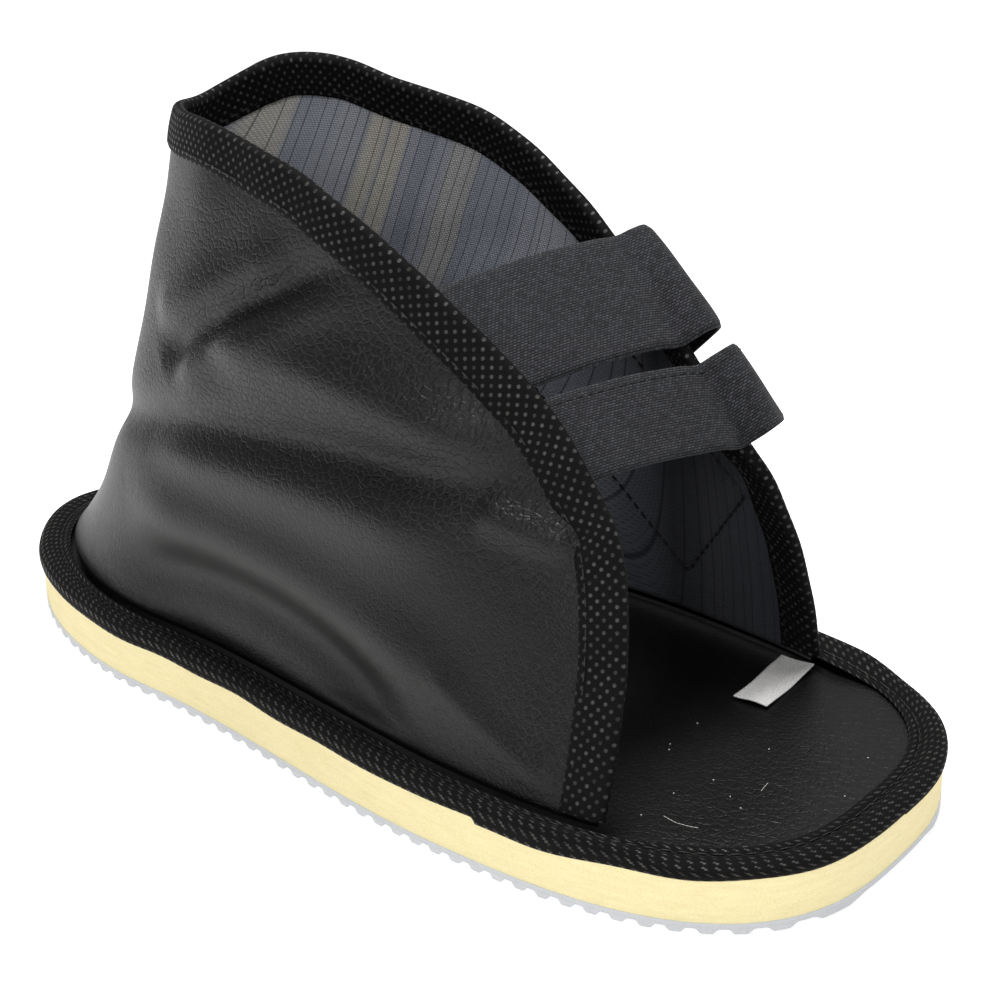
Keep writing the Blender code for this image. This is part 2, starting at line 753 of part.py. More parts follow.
def make_straps() -> None:
    """The webbing straps, from inside the near rim over the far rim."""
    upper = strap_rows(UPPER_STRAP_ROWS, UPPER_STRAP_NEAR, UPPER_STRAP_FAR, UPPER_STRAP_WIDTH)
    lower = strap_rows(LOWER_STRAP_ROWS, LOWER_STRAP_NEAR, LOWER_STRAP_FAR, LOWER_STRAP_WIDTH)
    for name, lines in {"strap_upper": upper, "strap_lower": lower}.items():
        piece = ribbon(name, lines, STRAP_THICK, 0.0)
        paint(piece, (0.045, 0.046, 0.050), 0.85)


def patch_points() -> np.ndarray:
    """Points of the loop patch's inner face, just off the upper's far face."""
    dense, distance, middle = rim_place(PATCH_PLACE)
    arc = np.interp([middle], distance, dense)
    rim_up = np.ones(1)
    along = unit(skin_slopes(arc, rim_up)[0])
    beyond = unit(np.cross(along, skin_normal(arc, rim_up)))
    start_arc, start_up = walk_on_skin(arc, rim_up, -beyond, PATCH_DROP + PATCH_WIDTH / 2.0)
    rows = []
    for across in np.linspace(-PATCH_WIDTH / 2.0, PATCH_WIDTH / 2.0, PATCH_STEPS // 2 + 1):
        up_or_down = beyond * math.copysign(1.0, across)
        row_arc, row_up = walk_on_skin(start_arc, start_up, up_or_down, abs(across))
        row = []
        for ahead in np.linspace(-PATCH_LENGTH / 2.0, PATCH_LENGTH / 2.0, PATCH_STEPS + 1):
            ahead_or_back = along * math.copysign(1.0, ahead)
            place = walk_on_skin(row_arc, row_up, ahead_or_back, abs(ahead))
            row.append(skin(*place)[0] + skin_normal(*place)[0] * FIT_GAP)
        rows.append(row)
    return np.array(rows)


def make_loop_patch() -> bpy.types.Object:
    """The loop patch that the straps' ends lie on."""
    piece = ribbon("loop_patch", patch_points(), PATCH_THICK, 1.0)
    paint(piece, (0.030, 0.030, 0.032), 0.9)
    return piece


def make_label() -> bpy.types.Object:
    """The blank label tab on the insole."""
    base = INSOLE_TOP + FIT_GAP
    bpy.ops.mesh.primitive_cube_add(size=1.0, location=(LABEL_X, LABEL_Y, base + LABEL_THICK / 2.0))
    piece = bpy.context.object
    piece.name = "label_tab"
    piece.data.name = "label_tab"
    piece.scale = (LABEL_WIDTH, LABEL_LENGTH, LABEL_THICK)
    piece.rotation_euler = (0.0, 0.0, LABEL_TURN)
    for home in piece.users_collection:
        home.objects.unlink(piece)
    bpy.data.collections[COLLECTION].objects.link(piece)
    paint(piece, (0.80, 0.79, 0.78), 0.7)
    return piece


def clear_scene() -> None:
    """Remove the scene's objects and add the two collections."""
    for thing in list(bpy.data.objects):
        bpy.data.objects.remove(thing, do_unlink=True)
    for name in (COLLECTION, "cutters"):
        home = bpy.data.collections.new(name)
        bpy.context.scene.collection.children.link(home)


def main() -> None:
    """Build the shoe."""
    clear_scene()
    make_outsole()
    make_midsole()
    make_insole()
    make_rim_binding(*make_upper())
    make_sole_binding()
    make_straps()
    make_loop_patch()
    make_label()


main()
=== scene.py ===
"""Looks of a post operative shoe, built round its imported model.

Every new piece is a surface of two parameters worked out as whole arrays: the
upper and what lies on it come from one form of the last, and the sole's pieces
come from one outline. Lengths in metres. The toe points to +X, +Y is the far
side and +Z is up.
"""

import logging
import math
from dataclasses import dataclass
from enum import Enum

import bmesh
import bpy
import numpy as np
from mathutils import Matrix, Vector


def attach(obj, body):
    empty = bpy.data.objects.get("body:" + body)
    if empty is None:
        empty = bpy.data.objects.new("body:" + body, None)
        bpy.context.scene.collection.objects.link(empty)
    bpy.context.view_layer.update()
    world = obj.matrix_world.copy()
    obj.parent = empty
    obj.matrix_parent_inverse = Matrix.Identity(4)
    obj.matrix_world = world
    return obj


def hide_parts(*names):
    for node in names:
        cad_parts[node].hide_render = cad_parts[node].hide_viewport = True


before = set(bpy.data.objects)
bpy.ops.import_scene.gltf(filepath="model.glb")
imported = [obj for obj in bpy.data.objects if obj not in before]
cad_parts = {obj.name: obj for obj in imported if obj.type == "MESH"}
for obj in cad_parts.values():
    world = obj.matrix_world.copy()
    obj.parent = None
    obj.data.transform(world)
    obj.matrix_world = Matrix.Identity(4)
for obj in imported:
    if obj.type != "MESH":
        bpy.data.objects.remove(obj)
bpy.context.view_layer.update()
LOG = logging.getLogger("shoe")
MM = 0.001


def to_linear(colour: str) -> tuple[float, float, float, float]:
    """Turn an sRGB hex colour to linear red, green, blue and alpha."""
    parts = [int(colour[at : at + 2], 16) / 255.0 for at in (1, 3, 5)]
    linear = [part / 12.92 if part <= 0.04045 else ((part + 0.055) / 1.055) ** 2.4 for part in parts]
    return (*linear, 1.0)


def unit(vectors: np.ndarray) -> np.ndarray:
    """Scale vectors to length one."""
    return vectors / np.maximum(np.linalg.norm(vectors, axis=-1, keepdims=True), 1e-12)


def smoothstep(share: np.ndarray) -> np.ndarray:
    """Ease from 0 to 1 with level ends: 3 t squared less 2 t cubed."""
    share = np.clip(share, 0.0, 1.0)
    return share * share * (3.0 - 2.0 * share)


def spline(knots: np.ndarray, values: np.ndarray, at: np.ndarray) -> np.ndarray:
    """Cubic Hermite curve through values at knots, with central slopes."""
    slopes = np.gradient(values, knots, axis=0)
    span = np.clip(np.searchsorted(knots, at, side="right") - 1, 0, len(knots) - 2)
    width = (knots[span + 1] - knots[span])[..., None]
    t = (at - knots[span])[..., None] / width
    rise = t * t * (3.0 - 2.0 * t)
    ends = values[span] * (1.0 - rise) + values[span + 1] * rise
    return ends + slopes[span] * width * t * (1.0 - t) ** 2 - slopes[span + 1] * width * t * t * (1.0 - t)


def lengths_along(points: np.ndarray) -> np.ndarray:
    """Distance from the first point to each point along a path."""
    return np.concatenate([[0.0], np.cumsum(np.linalg.norm(np.diff(points, axis=0), axis=1))])


def ripple(u: np.ndarray, v: np.ndarray, seed: int) -> np.ndarray:
    """Soft uneven waves from -1 to 1: the mean of six sines in seeded directions."""
    draw = np.random.default_rng(seed)
    total = np.zeros(np.broadcast(u, v).shape)
    for turn, phase, pace in draw.uniform((0.0, 0.0, 0.6), (math.pi, 2.0 * math.pi, 1.6), (6, 3)):
        total += np.sin((u * math.cos(turn) + v * math.sin(turn)) * pace * 2.0 * math.pi + phase)
    return total / 3.0


@dataclass(frozen=True)
class Last:
    """The form that the shoe is made on: the sole's outline and the upper's face."""

    length: float = 0.275
    heel_width: float = 0.0972
    ball_width: float = 0.1175
    heel_round: float = 0.0816
    toe_round: float = 0.0853
    heel_squareness: float = 1.9
    toe_squareness: float = 2.76
    rise: float = 0.130
    foot_level: float = 0.020
    front_arc: float = 0.756
    wall: float = 0.0014

    def half_outline(self) -> np.ndarray:
        """Far half of the outline: a superellipse at each end, joined by an easing width."""
        turn = np.linspace(0.0, math.pi / 2.0, 400)
        heel_x = self.heel_round * (1.0 - np.cos(turn) ** (2.0 / self.heel_squareness)) - self.length / 2.0
        toe_x = self.length / 2.0 - self.toe_round * (1.0 - np.cos(turn) ** (2.0 / self.toe_squareness))
        side_x = np.linspace(heel_x[-1], toe_x[-1], 400)[1:-1]
        along = np.concatenate([heel_x, side_x, toe_x[::-1]])
        fills = (
            np.sin(turn) ** (2.0 / self.heel_squareness),
            np.ones(len(side_x)),
            np.sin(turn[::-1]) ** (2.0 / self.toe_squareness),
        )
        widen = smoothstep((along - heel_x[-1]) / (toe_x[-1] - heel_x[-1]))
        half = (self.heel_width + (self.ball_width - self.heel_width) * widen) / 2.0
        return np.stack([along, half * np.concatenate(fills)], axis=1)

    def outline_at(self, arc: np.ndarray, inset: np.ndarray, height: np.ndarray) -> np.ndarray:
        """Points on the outline, moved inward along its normal and set at a height.

        Args:
            arc: share of half of the outline, heel 0 to toe 1, negative on the near side.
            inset: distance inward.
            height: height above the floor.

        Returns:
            One point for each arc.
        """
        arc, inset, height = np.broadcast_arrays(arc, inset, height)
        outline = self.half_outline()
        share = lengths_along(outline)
        share = share / share[-1]

        def on_far_half(at: np.ndarray) -> np.ndarray:
            return np.stack([np.interp(at, share, outline[:, axis]) for axis in (0, 1)], axis=-1)

        place = np.abs(arc)
        ahead = unit(on_far_half(np.clip(place + 2e-3, 0, 1)) - on_far_half(np.clip(place - 2e-3, 0, 1)))
        at_tip = np.minimum(place, 1.0 - place) < 2e-3
        ahead[at_tip] = np.stack([np.zeros(at_tip.sum()), np.where(place[at_tip] < 0.5, 1.0, -1.0)], axis=-1)
        moved = on_far_half(place) + np.stack([ahead[..., 1], -ahead[..., 0]], axis=-1) * inset[..., None]
        side = np.where(arc < 0.0, -1.0, 1.0)
        return np.stack([moved[..., 0], moved[..., 1] * side, height], axis=-1)

    def foot_inset(self, arc: np.ndarray) -> np.ndarray:
        """Distance of the upper's foot from the sole's edge."""
        heel = 1.0 - smoothstep(np.abs(arc) / 0.25)
        front = smoothstep((np.abs(arc) - 0.50) / (self.front_arc - 0.50))
        return 0.0078 + 0.0030 * heel + (0.0015 + 0.0035 * np.sign(arc)) * front

    def skin(self, arc: np.ndarray, up: np.ndarray) -> np.ndarray:
        """Outer face of the upper: a parabola from the foot through the waist to the rim."""
        arc, up = np.broadcast_arrays(arc, up)
        rows = np.array(GUIDE)
        scale = np.array([self.length, self.ball_width, self.rise])
        base = np.array([0.0, 0.0, self.foot_level])
        waist = rows[:, 1:4] * scale + base
        rim = rows[:, 4:7] * scale + base
        mirror = np.array([1.0, -1.0, 1.0])
        knots = np.concatenate([-rows[:0:-1, 0], rows[:, 0]])
        waist = spline(knots, np.concatenate([waist[:0:-1] * mirror, waist]), arc)
        rim = spline(knots, np.concatenate([rim[:0:-1] * mirror, rim]), arc)
        lean = smoothstep((-0.030 - rim[..., 0]) / 0.040)
        tilt = (0.0020 + 0.16 * rim[..., 1]) * lean
        rim = rim + np.stack([np.zeros_like(lean), 0.0040 * lean, tilt], axis=-1)
        foot = self.outline_at(arc, self.foot_inset(arc), np.full(arc.shape, self.foot_level))
        up = up[..., None]
        return foot * (1 - up) * (1 - 2 * up) + waist * 4 * up * (1 - up) + rim * up * (2 * up - 1)

    def normal(self, arc: np.ndarray, up: np.ndarray) -> np.ndarray:
        """Outward direction of the upper's face: its two slopes' cross product."""
        arc, up = np.broadcast_arrays(arc, up)
        step = 1e-3
        low, high = np.maximum(arc - step, -self.front_arc), np.minimum(arc + step, self.front_arc)
        along = (self.skin(high, up) - self.skin(low, up)) / (high - low)[..., None]
        rising = self.skin(arc, up + step) - self.skin(arc, up - step)
        return unit(np.cross(rising, along))


# Foot arc, then waist and rim as shares of length, ball width and rise
GUIDE = (
    (0.000, -0.347, 0.000, 0.345, -0.266, 0.000, 0.950),
    (0.150, -0.300, 0.215, 0.360, -0.232, 0.160, 0.985),
    (0.290, -0.190, 0.320, 0.390, -0.153, 0.252, 1.000),
    (0.385, -0.110, 0.350, 0.410, -0.102, 0.272, 0.986),
    (0.487, 0.000, 0.365, 0.420, -0.003, 0.297, 0.937),
    (0.588, 0.115, 0.370, 0.385, 0.112, 0.275, 0.796),
    (0.682, 0.230, 0.345, 0.325, 0.219, 0.229, 0.603),
    (0.756, 0.312, 0.306, 0.265, 0.280, 0.238, 0.444),
)
LAST = Last()


@dataclass(frozen=True)
class Fold:
    """One soft trough or ridge, on a curve through three places of the panel.

    Places are (x, z) in millimetres. A negative height is a trough.
    """

    start: tuple[float, float]
    middle: tuple[float, float]
    end: tuple[float, float]
    width: float
    height: float

    def lift(self, x: np.ndarray, z: np.ndarray) -> np.ndarray:
        """Gaussian of the distance to the curve, fading at both ends."""
        t = np.linspace(0.0, 1.0, 110)[:, None]
        start, middle, end = (np.array(place) * MM for place in (self.start, self.middle, self.end))
        curve = start * (1 - t) * (1 - 2 * t) + middle * 4 * t * (1 - t) + end * t * (2 * t - 1)
        gap = np.hypot(x[..., None] - curve[:, 0], z[..., None] - curve[:, 1])
        nearest = gap.argmin(axis=-1)
        fade = smoothstep(np.sin(math.pi * np.clip(t[nearest, 0], 0.02, 0.98)) * 1.5)
        return self.height * MM * fade * np.exp(-((gap.min(axis=-1) / (self.width * MM)) ** 2))


NEAR_FOLDS = (
    Fold((-62, 98), (-33, 113), (-4, 127), 5.5, 2.0),
    Fold((-58, 88), (-28, 107), (14, 129), 4.6, -3.4),
    Fold((-52, 88), (-22, 104), (16, 123), 6.0, 2.6),
    Fold((-34, 99), (8, 100), (58, 88), 8.0, 3.4),
    Fold((-104, 57), (-28, 79), (72, 83), 5.5, -3.0),
    Fold((-66, 66), (-6, 70), (50, 70), 6.5, 1.6),
    Fold((48, 79), (60, 76), (74, 73), 4.0, 2.0),
    Fold((-84, 24), (-20, 37), (42, 18), 7.5, -3.0),
    Fold((-76, 48), (-10, 49), (66, 32), 9.0, 2.2),
    Fold((40, 42), (62, 30), (82, 24), 4.0, 1.0),
)
FAR_FOLDS = (
    Fold((-98, 60), (-50, 77), (5, 84), 6.0, -2.2),
    Fold((-60, 96), (-30, 104), (10, 118), 6.0, 1.4),
    Fold((-70, 30), (-20, 38), (30, 26), 7.0, -2.0),
    Fold((-70, 52), (-10, 50), (40, 44), 9.0, 1.4),
)


def fold_lift(point: np.ndarray, arc: np.ndarray, up: np.ndarray) -> np.ndarray:
    """Height of all folds at each point, fading out under the rim's tape."""
    near = sum(fold.lift(point[..., 0], point[..., 2]) for fold in NEAR_FOLDS)
    far = sum(fold.lift(point[..., 0], point[..., 2]) for fold in FAR_FOLDS)
    side = smoothstep(0.5 - point[..., 1] / 0.030)
    waves = ripple(point[..., 0] / 0.060, point[..., 2] / 0.045, 5) * 0.35 * MM
    to_edge = np.minimum((1.0 - up) * 0.130, (LAST.front_arc - np.abs(arc)) * 0.330)
    held = smoothstep((to_edge - 0.003) / 0.012) * smoothstep(up / 0.04)
    return (near * side + far * (1.0 - side) + waves) * held


def add_node(tree: bpy.types.NodeTree, kind: str, settings: dict | None = None, links: dict | None = None):
    """Add a node with its settings and links.

    Args:
        tree: the material's node tree.
        kind: the node's type name, without the word that all shader nodes share.
        settings: attributes by name, and socket values by name or index.
        links: output sockets by the name or index of the input that they feed.

    Returns:
        The node.
    """
    node = tree.nodes.new("ShaderNode" + kind)
    for name, value in (settings or {}).items():
        if isinstance(name, str) and hasattr(node, name):
            setattr(node, name, value)
        else:
            node.inputs[name].default_value = value
    for name, source in (links or {}).items():
        tree.links.new(source, node.inputs[name])
    return node


def ramp(tree: bpy.types.NodeTree, factor, stops: list[tuple[float, str]], kind: str = "LINEAR"):
    """Colour by a factor: stops are (place, sRGB hex colour). Returns the colour socket."""
    node = add_node(tree, "ValToRGB", links={0: factor})
    node.color_ramp.interpolation = kind
    elements = node.color_ramp.elements
    ordered = sorted(stops)
    for at, (place, colour) in ((0, ordered[0]), (-1, ordered[-1])):
        elements[at].position, elements[at].color = place, to_linear(colour)
    for place, colour in ordered[1:-1]:
        elements.new(place).color = to_linear(colour)
    return node.outputs[0]


def math_of(tree: bpy.types.NodeTree, operation: str, *terms):
    """A Math node on sockets or numbers. Returns its value socket."""
    settings, links = {"operation": operation}, {}
    for at, term in enumerate(terms):
        if isinstance(term, (int, float)):
            settings[at] = term
        else:
            links[at] = term
    return add_node(tree, "Math", settings, links).outputs[0]


class Space(Enum):
    """Where a finish reads its coordinates."""

    OBJECT = "Object"
    SURFACE = "UV"


@dataclass(frozen=True)
class Finish:
    """A real material: its name, base look and the space its pattern lies in."""

    name: str
    colour: str
    roughness: float
    space: Space = Space.OBJECT
    specular: float = 0.5

    def start(self) -> tuple[bpy.types.Material, bpy.types.NodeTree, bpy.types.Node, object]:
        """Make the material with its shader and coordinates, for a pattern to be added."""
        material = bpy.data.materials.new(self.name)
        material.use_nodes = True
        tree = material.node_tree
        shader = tree.nodes["Principled BSDF"]
        shader.inputs["Base Color"].default_value = to_linear(self.colour)
        shader.inputs["Roughness"].default_value = self.roughness
        shader.inputs["Specular IOR Level"].default_value = self.specular
        place = add_node(tree, "TexCoord").outputs[self.space.value]
        return material, tree, shader, place

    def relief(self, tree: bpy.types.NodeTree, shader: bpy.types.Node, height, deep: float, below=None):
        """Feed a height in metres times deep to the shader's normal. Returns the normal."""
        links = {"Height": height}
        if below is not None:
            links["Normal"] = below
        bump = add_node(tree, "Bump", {"Strength": 1.0, "Distance": deep}, links)
        tree.links.new(bump.outputs[0], shader.inputs["Normal"])
        return bump.outputs[0]


@dataclass(frozen=True)
class GrainedLeather(Finish):
    """Imitation leather: pressed grain of cells that grow coarse where it creases."""

    cell: float = 0.0019
    fine_cell: float = 0.0008
    depth: float = 0.00016

    def build(self) -> bpy.types.Material:
        """Cells from Voronoi edges at two sizes, mixed by the crease attribute."""
        material, tree, shader, place = self.start()
        crease = add_node(tree, "Attribute", {"attribute_name": "crease"}).outputs["Fac"]
        warp = add_node(tree, "TexNoise", {"Scale": 260.0, "Detail": 2.0}, {"Vector": place}).outputs[1]
        bent = add_node(tree, "VectorMath", {"operation": "MULTIPLY_ADD", 1: (0.0012,) * 3}, {0: warp, 2: place})
        heights = []
        for size in (self.cell, self.fine_cell):
            settings = {"feature": "DISTANCE_TO_EDGE", "Scale": 1.0 / size}
            cells = add_node(tree, "TexVoronoi", settings, {"Vector": bent.outputs[0]}).outputs[0]
            heights.append(math_of(tree, "MINIMUM", cells, 0.16))
        coarse = math_of(tree, "MULTIPLY", heights[0], math_of(tree, "MULTIPLY_ADD", crease, 4.6, 0.8))
        fine = math_of(tree, "MULTIPLY", heights[1], 1.4)
        height = math_of(tree, "ADD", coarse, fine)
        self.relief(tree, shader, height, self.depth)
        cloud = add_node(tree, "TexNoise", {"Scale": 34.0, "Detail": 3.0}, {"Vector": place}).outputs[0]
        rough = add_node(tree, "MapRange", {3: self.roughness - 0.05, 4: self.roughness + 0.09}, {0: cloud})
        tree.links.new(rough.outputs[0], shader.inputs["Roughness"])
        shader.inputs["Coat Weight"].default_value = 0.08
        shader.inputs["Coat Roughness"].default_value = 0.35
        return material


@dataclass(frozen=True)
class DimpledTape(Finish):
    """Non-woven polypropylene binding tape, spot-welded in a diagonal grid of pale dots."""

    pitch: float = 0.0020
    dot: float = 0.21

    def build(self) -> bpy.types.Material:
        """Dots where the turned, tiled surface coordinates lie near a tile's middle."""
        material, tree, shader, place = self.start()
        turned = add_node(
            tree, "Mapping",
            {"Rotation": (0.0, 0.0, math.radians(45.0)), "Scale": (1.0 / self.pitch,) * 3}, {"Vector": place},
        ).outputs[0]
        tile = add_node(tree, "VectorMath", {"operation": "FLOOR"}, {0: turned}).outputs[0]
        chance = add_node(tree, "TexWhiteNoise", {"noise_dimensions": "2D"}, {"Vector": tile}).outputs[0]
        within = add_node(tree, "VectorMath", {"operation": "FRACTION"}, {0: turned}).outputs[0]
        offset = add_node(tree, "VectorMath", {"operation": "SUBTRACT", 1: (0.5, 0.5, 0.0)}, {0: within}).outputs[0]
        far = add_node(tree, "VectorMath", {"operation": "LENGTH"}, {0: offset}).outputs[1]
        dots = add_node(tree, "MapRange", {1: self.dot + 0.06, 2: self.dot - 0.06, 3: 0.0, 4: 1.0}, {0: far})
        shown = math_of(tree, "MULTIPLY", dots.outputs[0], math_of(tree, "MULTIPLY_ADD", chance, 0.75, 0.25))
        fibres = add_node(tree, "TexNoise", {"Scale": 3200.0, "Detail": 4.0}, {"Vector": place}).outputs[0]
        colour = add_node(tree, "MixRGB", {1: to_linear(self.colour), 2: to_linear("#474543")}, {0: shown})
        tree.links.new(colour.outputs[0], shader.inputs["Base Color"])
        shine = add_node(tree, "MapRange", {3: self.roughness, 4: 0.32}, {0: dots.outputs[0]})
        tree.links.new(shine.outputs[0], shader.inputs["Roughness"])
        weave = math_of(tree, "SUBTRACT", math_of(tree, "MULTIPLY", fibres, 0.5), dots.outputs[0])
        self.relief(tree, shader, weave, 0.00016)
        return material


@dataclass(frozen=True)
class WovenWebbing(Finish):
    """Polyester webbing in a fine twill: short raised ribs between dark gaps."""

    rib: float = 0.0011
    row: float = 0.00062

    def build(self) -> bpy.types.Material:
        """Offset bricks in surface coordinates stand for the yarns' crossings."""
        material, tree, shader, place = self.start()
        settings = {
            "offset": 0.5, "Scale": 1.0, "Mortar Size": 0.00014, "Mortar Smooth": 0.6,
            "Brick Width": self.rib, "Row Height": self.row,
            "Color1": to_linear("#47484d"), "Color2": to_linear("#2b2c30"), "Mortar": to_linear("#08090a"),
        }
        bricks = add_node(tree, "TexBrick", settings, {"Vector": place})
        mottle = add_node(tree, "TexNoise", {"Scale": 900.0, "Detail": 3.0}, {"Vector": place}).outputs[0]
        tint = add_node(tree, "MixRGB", {"blend_type": "MULTIPLY", 0: 0.6}, {1: bricks.outputs[0]})
        tree.links.new(ramp(tree, mottle, [(0.3, "#8f8f92"), (0.7, "#ffffff")]), tint.inputs[2])
        tree.links.new(tint.outputs[0], shader.inputs["Base Color"])
        self.relief(tree, shader, math_of(tree, "SUBTRACT", 1.0, bricks.outputs[1]), 0.00018)
        shader.inputs["Sheen Weight"].default_value = 0.06
        return material


@dataclass(frozen=True)
class KnittedLining(Finish):
    """Warp-knitted mesh lining: upright stripes of grey, beige and dark yarn."""

    stripe: float = 0.0062
    loop: float = 0.00085

    def build(self) -> bpy.types.Material:
        """Stripes across u in irregular bands, rows of loops from offset bricks."""
        material, tree, shader, place = self.start()
        split = add_node(tree, "SeparateXYZ", links={0: place})
        across = split.outputs[0]
        line = {"voronoi_dimensions": "1D", "Scale": 1.0 / self.stripe, "Randomness": 0.85}
        bands = add_node(tree, "TexVoronoi", line, {"W": across}).outputs["Color"]
        tone = ramp(tree, bands, [(0.0, "#a3a9b8"), (1.0, "#e0e3ea"), (0.35, "#bcc1cc"), (0.7, "#cdd0d8")])
        warm = ramp(tree, math_of(tree, "MULTIPLY_ADD", across, 6.0, 0.5), list(BEIGE_STOPS))
        beige = add_node(tree, "MixRGB", {"blend_type": "MIX", 2: to_linear("#f2ebdc")}, {0: warm, 1: tone})
        thin = dict(line, Scale=1.0 / (self.stripe * 0.55), feature="DISTANCE_TO_EDGE")
        gap = add_node(tree, "TexVoronoi", thin, {"W": across}).outputs["Distance"]
        lines = ramp(tree, gap, [(0.02, "#70727a"), (0.07, "#ffffff")])
        striped = add_node(tree, "MixRGB", {"blend_type": "MULTIPLY", 0: 0.75}, {1: beige.outputs[0], 2: lines})
        knit = {
            "offset": 0.5, "Scale": 1.0, "Mortar Size": 0.00017, "Mortar Smooth": 0.7,
            "Brick Width": self.loop, "Row Height": self.loop * 0.7,
            "Color1": to_linear("#ffffff"), "Color2": to_linear("#e2e2e5"), "Mortar": to_linear("#85878e"),
        }
        loops = add_node(tree, "TexBrick", knit, {"Vector": place})
        cloth = add_node(tree, "MixRGB", {"blend_type": "MULTIPLY", 0: 0.6}, {1: striped.outputs[0]})
        tree.links.new(loops.outputs[0], cloth.inputs[2])
        # Painted shade: the lining is multiplied darker towards the front, from x 15 mm to 45 mm
        shade = add_node(tree, "MixRGB", {"blend_type": "MULTIPLY", 0: 1.0}, {1: cloth.outputs[0]})
        depth = add_node(tree, "TexCoord").outputs["Object"]
        ahead = add_node(tree, "SeparateXYZ", links={0: depth}).outputs[0]
        front = add_node(tree, "MapRange", {1: 0.015, 2: 0.045, 3: 0.0, 4: 1.0}, {0: ahead}).outputs[0]
        tree.links.new(ramp(tree, front, [(0.0, "#ffffff"), (1.0, "#5e5e60")]), shade.inputs[2])
        tree.links.new(shade.outputs[0], shader.inputs["Base Color"])
        self.relief(tree, shader, math_of(tree, "SUBTRACT", 1.0, loops.outputs[1]), 0.0002)
        return material


# Share of beige along the lining's stripes, from the photograph
BEIGE_STOPS = (
    (0.00, "#000000"), (1.00, "#000000"), (0.02, "#000000"), (0.035, "#e0e0e0"), (0.075, "#e0e0e0"),
    (0.09, "#000000"), (0.21, "#000000"), (0.218, "#f0f0f0"), (0.245, "#f0f0f0"), (0.25, "#303030"),
    (0.255, "#f0f0f0"), (0.285, "#f0f0f0"), (0.292, "#000000"), (0.37, "#000000"), (0.38, "#b0b0b0"),
    (0.425, "#b0b0b0"), (0.435, "#000000"),
)


@dataclass(frozen=True)
class CutFoam(Finish):
    """Closed-cell EVA foam, cut with a blade: fine pores and faint drag lines."""

    def build(self) -> bpy.types.Material:
        """Pores from fine noise, drag lines from noise drawn out along the edge."""
        material, tree, shader, place = self.start()
        pores = add_node(tree, "TexNoise", {"Scale": 2600.0, "Detail": 3.0}, {"Vector": place}).outputs[0]
        drawn = add_node(tree, "Mapping", {"Scale": (120.0, 120.0, 900.0)}, {"Vector": place}).outputs[0]
        drag = add_node(tree, "TexNoise", {"Scale": 1.0, "Detail": 3.0}, {"Vector": drawn}).outputs[0]
        blend = add_node(tree, "MixRGB", {0: 0.4}, {1: pores, 2: drag}).outputs[0]
        tree.links.new(ramp(tree, blend, [(0.25, "#e3d49e"), (0.75, "#f7eabc")]), shader.inputs["Base Color"])
        self.relief(tree, shader, blend, 0.00022)
        shader.inputs["Subsurface Weight"].default_value = 0.08
        shader.inputs["Subsurface Scale"].default_value = 0.004
        return material


@dataclass(frozen=True)
class SheetRubber(Finish):
    """Foamed rubber sheeting, near white, with painted shade in its grooves."""

    def build(self) -> bpy.types.Material:
        """Fine noise for the skin, darker where the surface lies higher than the ribs."""
        material, tree, shader, place = self.start()
        skin = add_node(tree, "TexNoise", {"Scale": 1800.0, "Detail": 4.0}, {"Vector": place}).outputs[0]
        height = add_node(tree, "SeparateXYZ", links={0: place}).outputs[2]
        # Painted shade: grey mixed in where the surface lies higher, so the tread's grooves read darker
        groove_shade = add_node(tree, "MapRange", {1: 0.0004, 2: 0.0016, 3: 0.0, 4: 0.5}, {0: height}).outputs[0]
        tone = ramp(tree, skin, [(0.25, "#cdcfd3"), (0.75, "#dfe1e5")])
        mixed = add_node(tree, "MixRGB", {2: to_linear("#b9bcc2")}, {0: groove_shade, 1: tone})
        tree.links.new(mixed.outputs[0], shader.inputs["Base Color"])
        self.relief(tree, shader, skin, 0.0001)
        return material


@dataclass(frozen=True)
class Plain(Finish):
    """A thread, tab or brushed loop tape: one colour with a fine fibrous relief."""

    grain: float = 2400.0
    depth: float = 0.0001

    def build(self) -> bpy.types.Material:
        """Fine noise tints the colour and lifts the fibres."""
        material, tree, shader, place = self.start()
        fibres = add_node(tree, "TexNoise", {"Scale": self.grain, "Detail": 4.0}, {"Vector": place}).outputs[0]
        tint = add_node(tree, "MixRGB", {"blend_type": "MULTIPLY", 0: 0.5, 1: to_linear(self.colour)})
        tree.links.new(ramp(tree, fibres, [(0.3, "#8a8a8a"), (0.7, "#ffffff")]), tint.inputs[2])
        tree.links.new(tint.outputs[0], shader.inputs["Base Color"])
        self.relief(tree, shader, fibres, self.depth)
        return material


# Black grained imitation leather gives the upper broad satin lights and fine cells
UPPER_LEATHER = GrainedLeather("imitation_leather_upper", "#0a0909", 0.38, specular=0.27)
# The same sheet on the insole board lies flat and mirrors more
INSOLE_LEATHER = GrainedLeather("imitation_leather_insole", "#090808", 0.34, specular=0.36, cell=0.0021, depth=0.00008)
# Knitted mesh gives the bright striped inside
LINING = KnittedLining("knitted_mesh_lining", "#a6a9b2", 0.85, Space.SURFACE)
# Spot-welded non-woven tape gives the black edges with pale dots
TAPE = DimpledTape("nonwoven_binding_tape", "#060505", 0.85, Space.SURFACE, specular=0.16)
# Twill webbing gives the straps their dense grey weave
WEBBING = WovenWebbing("polyester_webbing", "#3c3d40", 0.85, Space.SURFACE, specular=0.2)
# Blade-cut foam gives the cream wall
FOAM = CutFoam("eva_foam", "#f3e6b8", 0.85)
# Rubber sheeting gives the near-white tread
TREAD = SheetRubber("foamed_rubber_sheet", "#eceded", 0.6)
# Brushed loops give a dull soft black
LOOPS = Plain("nylon_loop_tape", "#161617", 0.95, grain=1500.0, depth=0.0006)
# Black sewing thread
THREAD = Plain("polyester_thread", "#0d0d0e", 0.55, grain=5000.0)
# Bleached woven tab
TAB = Plain("satin_label_tab", "#f1f0ee", 0.6, grain=3000.0)
# Pale lint that the photograph shows on the insole
LINT = Plain("cotton_lint", "#cfcdc8", 0.9)


